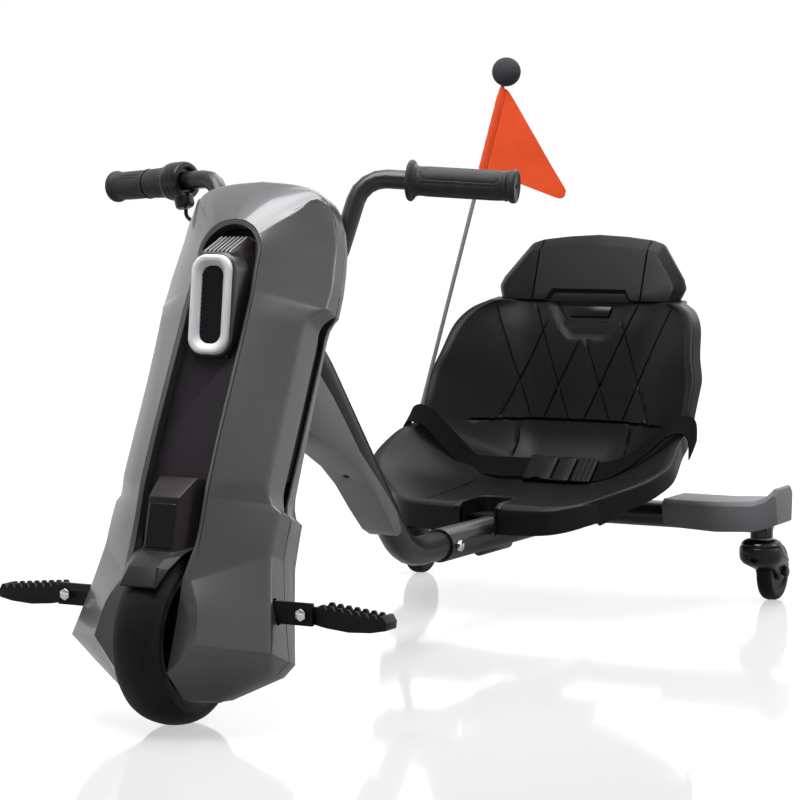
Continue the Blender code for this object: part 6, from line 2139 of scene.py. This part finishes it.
@dataclass
class LapBelt:
    """The lap belt with its buckle, its adjuster and the keeper at its fold."""

    depth: float = 0.433
    height: float = 0.1885
    half_width: float = 0.0185
    thickness: float = 0.0018
    tilt: float = math.radians(40.0)
    columns: int = 10
    over_rim: tuple[tuple[float, float], ...] = (
        (0.190, 0.2560), (0.206, 0.2615), (0.2150, 0.2605), (0.2215, 0.2555), (0.2240, 0.2450), (0.2240, 0.2270),
    )

    def build(self) -> None:
        """Makes both straps and the hardware on them."""
        left = [(0.040, 0.1880), (0.0734, 0.1885), (0.0995, 0.1930), (0.1178, 0.2010), (0.1375, 0.2130)]
        left += [(0.157, 0.2290), (0.175, 0.2440), *self.over_rim]
        right = [(-0.026, 0.1880), (-0.0728, 0.1870), (-0.108, 0.1890), (-0.1225, 0.1960), (-0.1400, 0.2110)]
        right += [(-0.162, 0.2310), (-0.177, 0.2445), *((-x, z) for x, z in self.over_rim)]
        self.strap("belt_left", left, "belt_left")
        self.strap("belt_right", right, "belt_right")
        fold = [(-0.030, 0.1905), (-0.0728, 0.1897), (-0.118, 0.1915), (-0.138, 0.1910), (-0.1445, 0.1880)]
        fold += [(-0.1440, 0.1840), (-0.1370, 0.1822), (-0.1120, 0.1815)]
        self.strap("belt_fold", fold)
        self.build_buckle()
        self.build_fittings()

    def across(self) -> Vector:
        """The direction across the straps, which lean up against the seat's hollow."""
        return Vector((0, math.cos(self.tilt), math.sin(self.tilt)))

    def strap(self, name: str, knots: Sequence[tuple[float, float]], *nodes: str) -> None:
        """Weaves one strap along (x, z) knots.

        Args:
            name: The strap's name.
            knots: The strap's line.
            *nodes: The CAD node that it stands for.
        """
        path = smooth_path([(x, self.depth, z) for x, z in knots], 5)
        length = [0.0]
        for one, two in zip(path, path[1:]):
            length.append(length[-1] + (two - one).length)
        across = self.across()

        def place(column: int, row: int) -> Vector:
            """A point across and along the strap, with its slight waves.

            Args:
                column: How far across, in columns.
                row: How far along, in rows.

            Returns:
                The point.
            """
            share = 2 * column / self.columns - 1
            wave = 0.0008 * math.sin(length[row] * 55.0) * share
            return path[row] + across * self.half_width * share + Vector((0, -0.6, 0.8)) * (wave + 0.0010 * share**2)

        strap = Piece.sheet(f"{name}_webbing", self.columns, len(path) - 1, place)
        strap.face_to((0, -0.6, 0.8))
        for corner in strap.obj.data.uv_layers.active.data:
            corner.uv = (corner.uv[1] * length[-1], (corner.uv[0] - 0.5) * 2 * self.half_width)
        strap.wall(self.thickness, 0.0, even=False).shade(50.0).done(Body.REAR, WEBBING, Slot.WEBBING, *nodes)

    def tilted(self, piece: Piece, low: float, scale: float, start: float) -> Piece:
        """Stretches a fitting along the belt and leans it as the straps lean.

        Args:
            piece: The fitting, drawn flat.
            low: The drawn place that comes to the start.
            scale: How much longer it becomes.
            start: Where it starts along the belt.

        Returns:
            The fitting.
        """
        centre = Vector((0, self.depth, self.height))
        turn = Matrix.Rotation(self.tilt, 3, "X")

        def place(point: Vector) -> Vector:
            """A drawn point's final place."""
            flat = Vector((start + (point.x - low) * scale, point.y, point.z + self.height - 0.1895))
            return turn @ (flat - centre) + centre

        return piece.reshape(place)

    def build_buckle(self) -> None:
        """The side-release buckle: a waisted socket and the tongue with its two arms."""
        socket = Piece.from_node("buckle_socket", "buckle_socket_body")
        for side in (-1, 1):
            low, high = [(0.004, self.depth + side * 0.0300, z) for z in (0.17, 0.21)]
            socket.cut(Piece.rod("waist", low, high, 0.0095, 40))
        for x in (-0.0085, -0.0060, -0.0035):
            low, high = (x, self.depth - 0.016, 0.1953), (x + 0.0009, self.depth + 0.016, 0.1990)
            socket.cut(Piece.block("rib", low, high))
        socket.ease_edges(0.0012, 3)
        tongue = Piece.from_node("buckle_tongue", "buckle_tongue_body").ease_edges(0.0012, 3)
        for side in (-1, 1):
            low = (0.0060, self.depth + side * 0.0205 - 0.0024, 0.1862)
            high = (0.0240, self.depth + side * 0.0205 + 0.0024, 0.1938)
            tongue.add_loose(Piece.block("arm", low, high).ease_edges(0.0014, 3))
        for piece, node in ((socket, "buckle_socket"), (tongue, "buckle_tongue")):
            self.tilted(piece, -0.0120, 1.404, -0.029)
            piece.shade(35.0).done(Body.REAR, BUCKLE_BLACK, Slot.SATIN, node)

    def build_fittings(self) -> None:
        """The adjuster beside the buckle and the keeper at the fold."""
        slider = Piece.from_node("belt_slider", "belt_slider_frame")
        for x in (0.0765, 0.0815, 0.0865):
            low, high = (x, self.depth - 0.030, 0.1995), (x + 0.0012, self.depth + 0.030, 0.2020)
            slider.cut(Piece.block("rib", low, high))
        slider.ease_edges(0.0009, 2).reshape(lambda point: point - Vector((0, 0, 0.0054)))
        self.tilted(slider, 0.0720, 1.55, 0.0455)
        slider.shade(35.0).done(Body.REAR, BUCKLE_BLACK, Slot.SATIN, "belt_slider")
        keeper = Piece.block("belt_keeper", (0.0, self.depth - 0.0215, 0.1850), (0.0085, self.depth + 0.0215, 0.1955))
        keeper.cut(Piece.block("slot", (-0.01, self.depth - 0.0188, 0.1866), (0.02, self.depth + 0.0188, 0.1938)))
        keeper.ease_edges(0.0012, 3)
        self.tilted(keeper, 0.0, 1.0, -0.1290)
        keeper.shade(40.0).done(Body.REAR, BUCKLE_BLACK, Slot.SATIN)


@dataclass
class Flag:
    """The safety flag: pole, socket, foam ball and the cloth with its sleeve."""

    foot: Vector = Vector((-0.269, 0.509, 0.160))
    ball: Vector = Vector((-0.135, 0.580, 0.763))
    ball_radius: float = 0.0215
    drop: float = 0.1490
    turn: float = math.radians(15.0)
    sleeve_radius: float = 0.0050
    sleeve_length: float = 0.1245
    columns: int = 40
    rows: int = 44

    def directions(self) -> tuple[Vector, Vector, Vector]:
        """The pole's direction, the way out along the cloth, and the cloth's normal.

        Returns:
            The three directions.
        """
        pole = (self.ball - self.foot).normalized()
        out = Vector((math.cos(self.turn), math.sin(self.turn), 0.0))
        out = (out - pole * out.dot(pole)).normalized()
        return pole, out, pole.cross(out)

    def build(self) -> None:
        """Makes the socket, the pole, the ball and the cloth."""
        Restyle(SATIN_BLACK, Slot.SATIN, 0.0007).apply("flag_socket")
        Restyle(POLE_GREY, Slot.POLE, smooth=60.0).apply("flag_pole")
        ball = Piece.ball("flag_foam_ball", self.ball, self.ball_radius, 30)
        ball.shade(60.0).done(Body.REAR, FOAM_GREY, Slot.FOAM, "flag_ball")
        self.build_cloth()

    def build_cloth(self) -> None:
        """The pennant and the sleeve sewn along its edge."""
        pole, out, normal = self.directions()
        low = self.ball - pole * self.drop
        base = [(0.0, 0.0), (0.1190, -0.0140), (0.1262, -0.0135), (0.1310, -0.0095), (0.1315, -0.0030)]
        tip = [(0.1280, 0.0035), (0.1000, 0.0310), (0.0700, 0.0625), (0.0400, 0.0930), (0.0180, 0.1150)]
        tip += [(0.0110, 0.1215), (0.0070, 0.1238), (0.0045, 0.1236)]
        edge = smooth_path([Vector((x, y, 0)) for x, y in [*base[1:], *tip]], 4)
        spine = self.sleeve_radius * 0.7

        def place(column: int, row: int) -> Vector:
            """A point of the cloth, from the sleeve out to the free edge.

            Args:
                column: How far out, in columns.
                row: How far along the sleeve, in rows.

            Returns:
                The point.
            """
            share = row / self.rows
            outer = edge[min(round(share * (len(edge) - 1)), len(edge) - 1)]
            reach = column / self.columns
            up = 0.1228 * share
            x = spine + (outer.x - spine) * reach
            y = up + (outer.y - up) * reach
            hang = min(x / 0.06, 1.0)
            wave = 0.0016 * hang * math.sin(x * 62.0 + y * 20.0) + 0.0012 * hang * math.sin(x * 24.0 - y * 55.0 + 1.0)
            return low + out * x + pole * y + normal * wave

        cloth = Piece.sheet("flag_cloth", self.columns, self.rows, place)
        cloth.face_to(normal)
        layer = cloth.obj.data.uv_layers.active
        for corner, loop in zip(layer.data, cloth.obj.data.loops):
            away = cloth.obj.data.vertices[loop.vertex_index].co - low
            corner.uv = (away.dot(out), away.dot(pole))
        cloth.wall(0.0006, 0.0, even=False).shade(60.0).done(Body.REAR, FLAG_CLOTH, Slot.FLAG, "flag")
        rings = []
        for step in range(25):
            along = self.sleeve_length * step / 24
            pinch = 1.0 if step < 22 else 1.0 - 0.10 * (step - 21)
            radius = self.sleeve_radius * (pinch + 0.03 * math.sin(step * 1.7))
            ring = []
            for turn in range(28):
                angle = math.tau * turn / 28
                stretch = 1.0 + 0.55 * max(math.cos(angle), 0.0) ** 6
                ring.append(low + pole * along + (out * math.cos(angle) * stretch + normal * math.sin(angle)) * radius)
            rings.append(ring)
        sleeve = Piece.loft("flag_sleeve", rings, caps=False)
        layer = sleeve.obj.data.uv_layers.active
        for corner in layer.data:
            corner.uv = (corner.uv[0] * math.tau * self.sleeve_radius, corner.uv[1] * self.sleeve_length)
        sleeve.wall(0.0007, even=False).shade(60.0).done(Body.REAR, FLAG_CLOTH, Slot.FLAG)


@dataclass
class Casters:
    """The two swivel casters under the beam's ends."""

    x: float = 0.285
    beam_y: float = 0.547
    axle_y: float = 0.595
    radius: float = 0.042
    half_width: float = 0.0115

    def build(self) -> None:
        """Makes both casters."""
        for side, sign in (("left", 1), ("right", -1)):
            self.build_race(side, sign)
            self.build_wheel(side, sign)
            self.build_fork(side, sign)
            self.build_axle(side, sign)
            Restyle(ZINC, Slot.STEEL, 0.0006).apply(f"caster_{side}_pin")

    def build_race(self, side: str, sign: int) -> None:
        """The swivel race, a glossy black dome with a plated collar round the stem.

        Args:
            side: "left" or "right", as in the nodes' names.
            sign: 1 on the left and -1 on the right.
        """
        foot = (sign * self.x, self.beam_y, 0.084)
        profile = [(0.0062, 0.0), (0.0272, 0.0), (0.0286, 0.0007), (0.0290, 0.0022), (0.0286, 0.0040)]
        profile += [(0.0270, 0.0062), (0.0244, 0.0082), (0.0208, 0.0098), (0.0160, 0.0109), (0.0062, 0.0112)]
        race = Piece.turned(f"caster_{side}_race_dome", [*profile, profile[0]], foot, (0, 0, 1), 72)
        race.shade(50.0).done(Body.REAR, DOME_BLACK, Slot.SATIN, f"caster_{side}_race")
        profile = [(0.0118, 0.0098), (0.0150, 0.0098), (0.0160, 0.0106), (0.0162, 0.0118), (0.0152, 0.0128)]
        profile.append((0.0118, 0.0130))
        collar = Piece.turned(f"caster_{side}_collar", [*profile, profile[0]], foot, (0, 0, 1), 64)
        collar.shade(40.0).done(Body.REAR, CHROME, Slot.CHROME)

    def stadium(self, start: float, end: float, radius: float, height: float, sign: int) -> list[Vector]:
        """A ring at one height round the line from one depth to another.

        Args:
            start: The line's front end.
            end: Its rear end.
            radius: How far round it the ring lies.
            height: The ring's height.
            sign: 1 for the left caster and -1 for the right one.

        Returns:
            The ring's points.
        """
        ring = []
        for centre, first in ((end, 0.0), (start, math.pi)):
            for step in range(17):
                turn = first + math.pi * step / 16
                x = sign * self.x + radius * math.cos(turn)
                ring.append(Vector((x, centre + radius * math.sin(turn), height)))
        return ring

    def build_fork(self, side: str, sign: int) -> None:
        """The fork: a round hood under the race that narrows to two cheeks beside the wheel.

        Args:
            side: "left" or "right", as in the nodes' names.
            sign: 1 on the left and -1 on the right.
        """
        swivel, axle = self.beam_y, self.axle_y
        shape = [(swivel, swivel, 0.0298, 0.0838), (swivel, swivel, 0.0312, 0.0822)]
        shape += [(swivel, swivel + 0.006, 0.0314, 0.0740), (swivel, axle - 0.026, 0.0306, 0.0655)]
        shape += [(swivel + 0.002, axle - 0.010, 0.0268, 0.0590), (swivel + 0.014, axle, 0.0212, 0.0525)]
        shape += [(axle - 0.018, axle + 0.001, 0.0180, 0.0460), (axle - 0.006, axle, 0.0172, 0.0390)]
        shape += [(axle - 0.002, axle, 0.0160, 0.0330), (axle, axle, 0.0130, 0.0292)]
        rings = [self.stadium(start, end, radius, height, sign) for start, end, radius, height in shape]
        fork = Piece.loft(f"caster_{side}_hood", rings)
        centre = Vector((sign * self.x, axle, self.radius))
        width = Vector((self.half_width + 0.0018, 0, 0))
        fork.cut(Piece.rod("wheel_room", centre - width, centre + width, self.radius + 0.0035, 72))
        ends = [(sign * self.x, swivel - back, 0.0665) for back in (0.04, 0.018)]
        hole = Piece.rod("hole", *ends, 0.0034, 32)
        hole.reshape(lambda point: ((point.x - sign * self.x) * 1.7 + sign * self.x, point.y, point.z))
        fork.cut(hole)
        fork.ease_edges(0.0010, 2, 40.0).shade(40.0)
        fork.done(bpy.data.objects[f"caster_{side}_fork"]["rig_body"], HOUSING_BLACK, Slot.SATIN, f"caster_{side}_fork")

    def build_axle(self, side: str, sign: int) -> None:
        """The axle with its two rounded caps.

        Args:
            side: "left" or "right", as in the nodes' names.
            sign: 1 on the left and -1 on the right.
        """
        start = (sign * self.x - 0.0235, self.axle_y, self.radius)
        half = [(0.0, 0.0), (0.0060, 0.0), (0.0072, 0.0006), (0.0078, 0.0018), (0.0078, 0.0052), (0.0042, 0.0056)]
        profile = [*half, *((radius, 0.047 - along) for radius, along in reversed(half))]
        axle = Piece.turned(f"caster_{side}_axle_caps", profile, start, (1, 0, 0), 40)
        body = bpy.data.objects[f"caster_{side}_axle"]["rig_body"]
        axle.shade(35.0).done(body, HOUSING_BLACK, Slot.SATIN, f"caster_{side}_axle")

    def build_wheel(self, side: str, sign: int) -> None:
        """The caster's wheel: a rounded tread on a dished hub.

        Args:
            side: "left" or "right", as in the nodes' names.
            sign: 1 on the left and -1 on the right.
        """
        tread, rim = self.half_width, self.radius
        half = [(0.0045, -tread + 0.0010), (0.0120, -tread + 0.0010), (0.0130, -tread + 0.0024)]
        half += [(0.0270, -tread + 0.0026), (0.0282, -tread + 0.0004), (0.0300, -tread), (rim - 0.0060, -tread)]
        half += [(rim - 0.0036, -tread + 0.0008), (rim - 0.0018, -tread + 0.0026), (rim - 0.0006, -tread + 0.0052)]
        profile = [*half, (rim, -tread + 0.0082)] + [(radius, -along) for radius, along in reversed(half)]
        axle = (sign * self.x, self.axle_y, self.radius)
        wheel = Piece.turned(f"caster_{side}_wheel_tread", [*profile, profile[0]], axle, (1, 0, 0), 72)
        body = bpy.data.objects[f"caster_{side}_wheel"]["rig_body"]
        wheel.shade(35.0).done(body, CASTER_BLACK, Slot.TYRE, f"caster_{side}_wheel")


@dataclass
class Frame:
    """The two halves of the tube frame, their lock, and the covers on them."""

    def build(self) -> None:
        """Finishes the frame and its covers."""
        Restyle(FRAME_BLACK, Slot.FRAME, 0.0008, smooth=40.0).apply("rear_frame")
        Restyle(FRAME_BLACK, Slot.FRAME, smooth=50.0).apply("front_frame")
        Restyle(CHROME, Slot.STEEL, 0.0008).apply("lock_bolt")
        Restyle(ZINC, Slot.STEEL, 0.0004).apply("headset_cup_lower", "headset_cup_upper")
        Restyle(COVER_GREY, Slot.COVER, 0.0030, 22.0, 50.0).apply("tube_cover")
        Restyle(COVER_GREY, Slot.COVER, 0.0055, 22.0, 50.0).apply("beam_cover_left", "beam_cover_right")


def main() -> None:
    """Builds the studio and every piece."""
    logging.basicConfig(level=logging.INFO, format="%(name)s %(message)s")
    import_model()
    bpy.context.scene.view_settings.view_transform = "Standard"
    assemblies = (
        Studio(),
        Bars(),
        Frame(),
        BucketSeat(),
        LapBelt(),
        Flag(),
        Casters(),
        DriveWheel(),
        Fairing(),
        Channel(),
        FootPegs(),
    )
    for assembly in assemblies:
        LOG.info("building the %s", type(assembly).__name__)
        assembly.build()


if __name__ == "__main__":
    main()
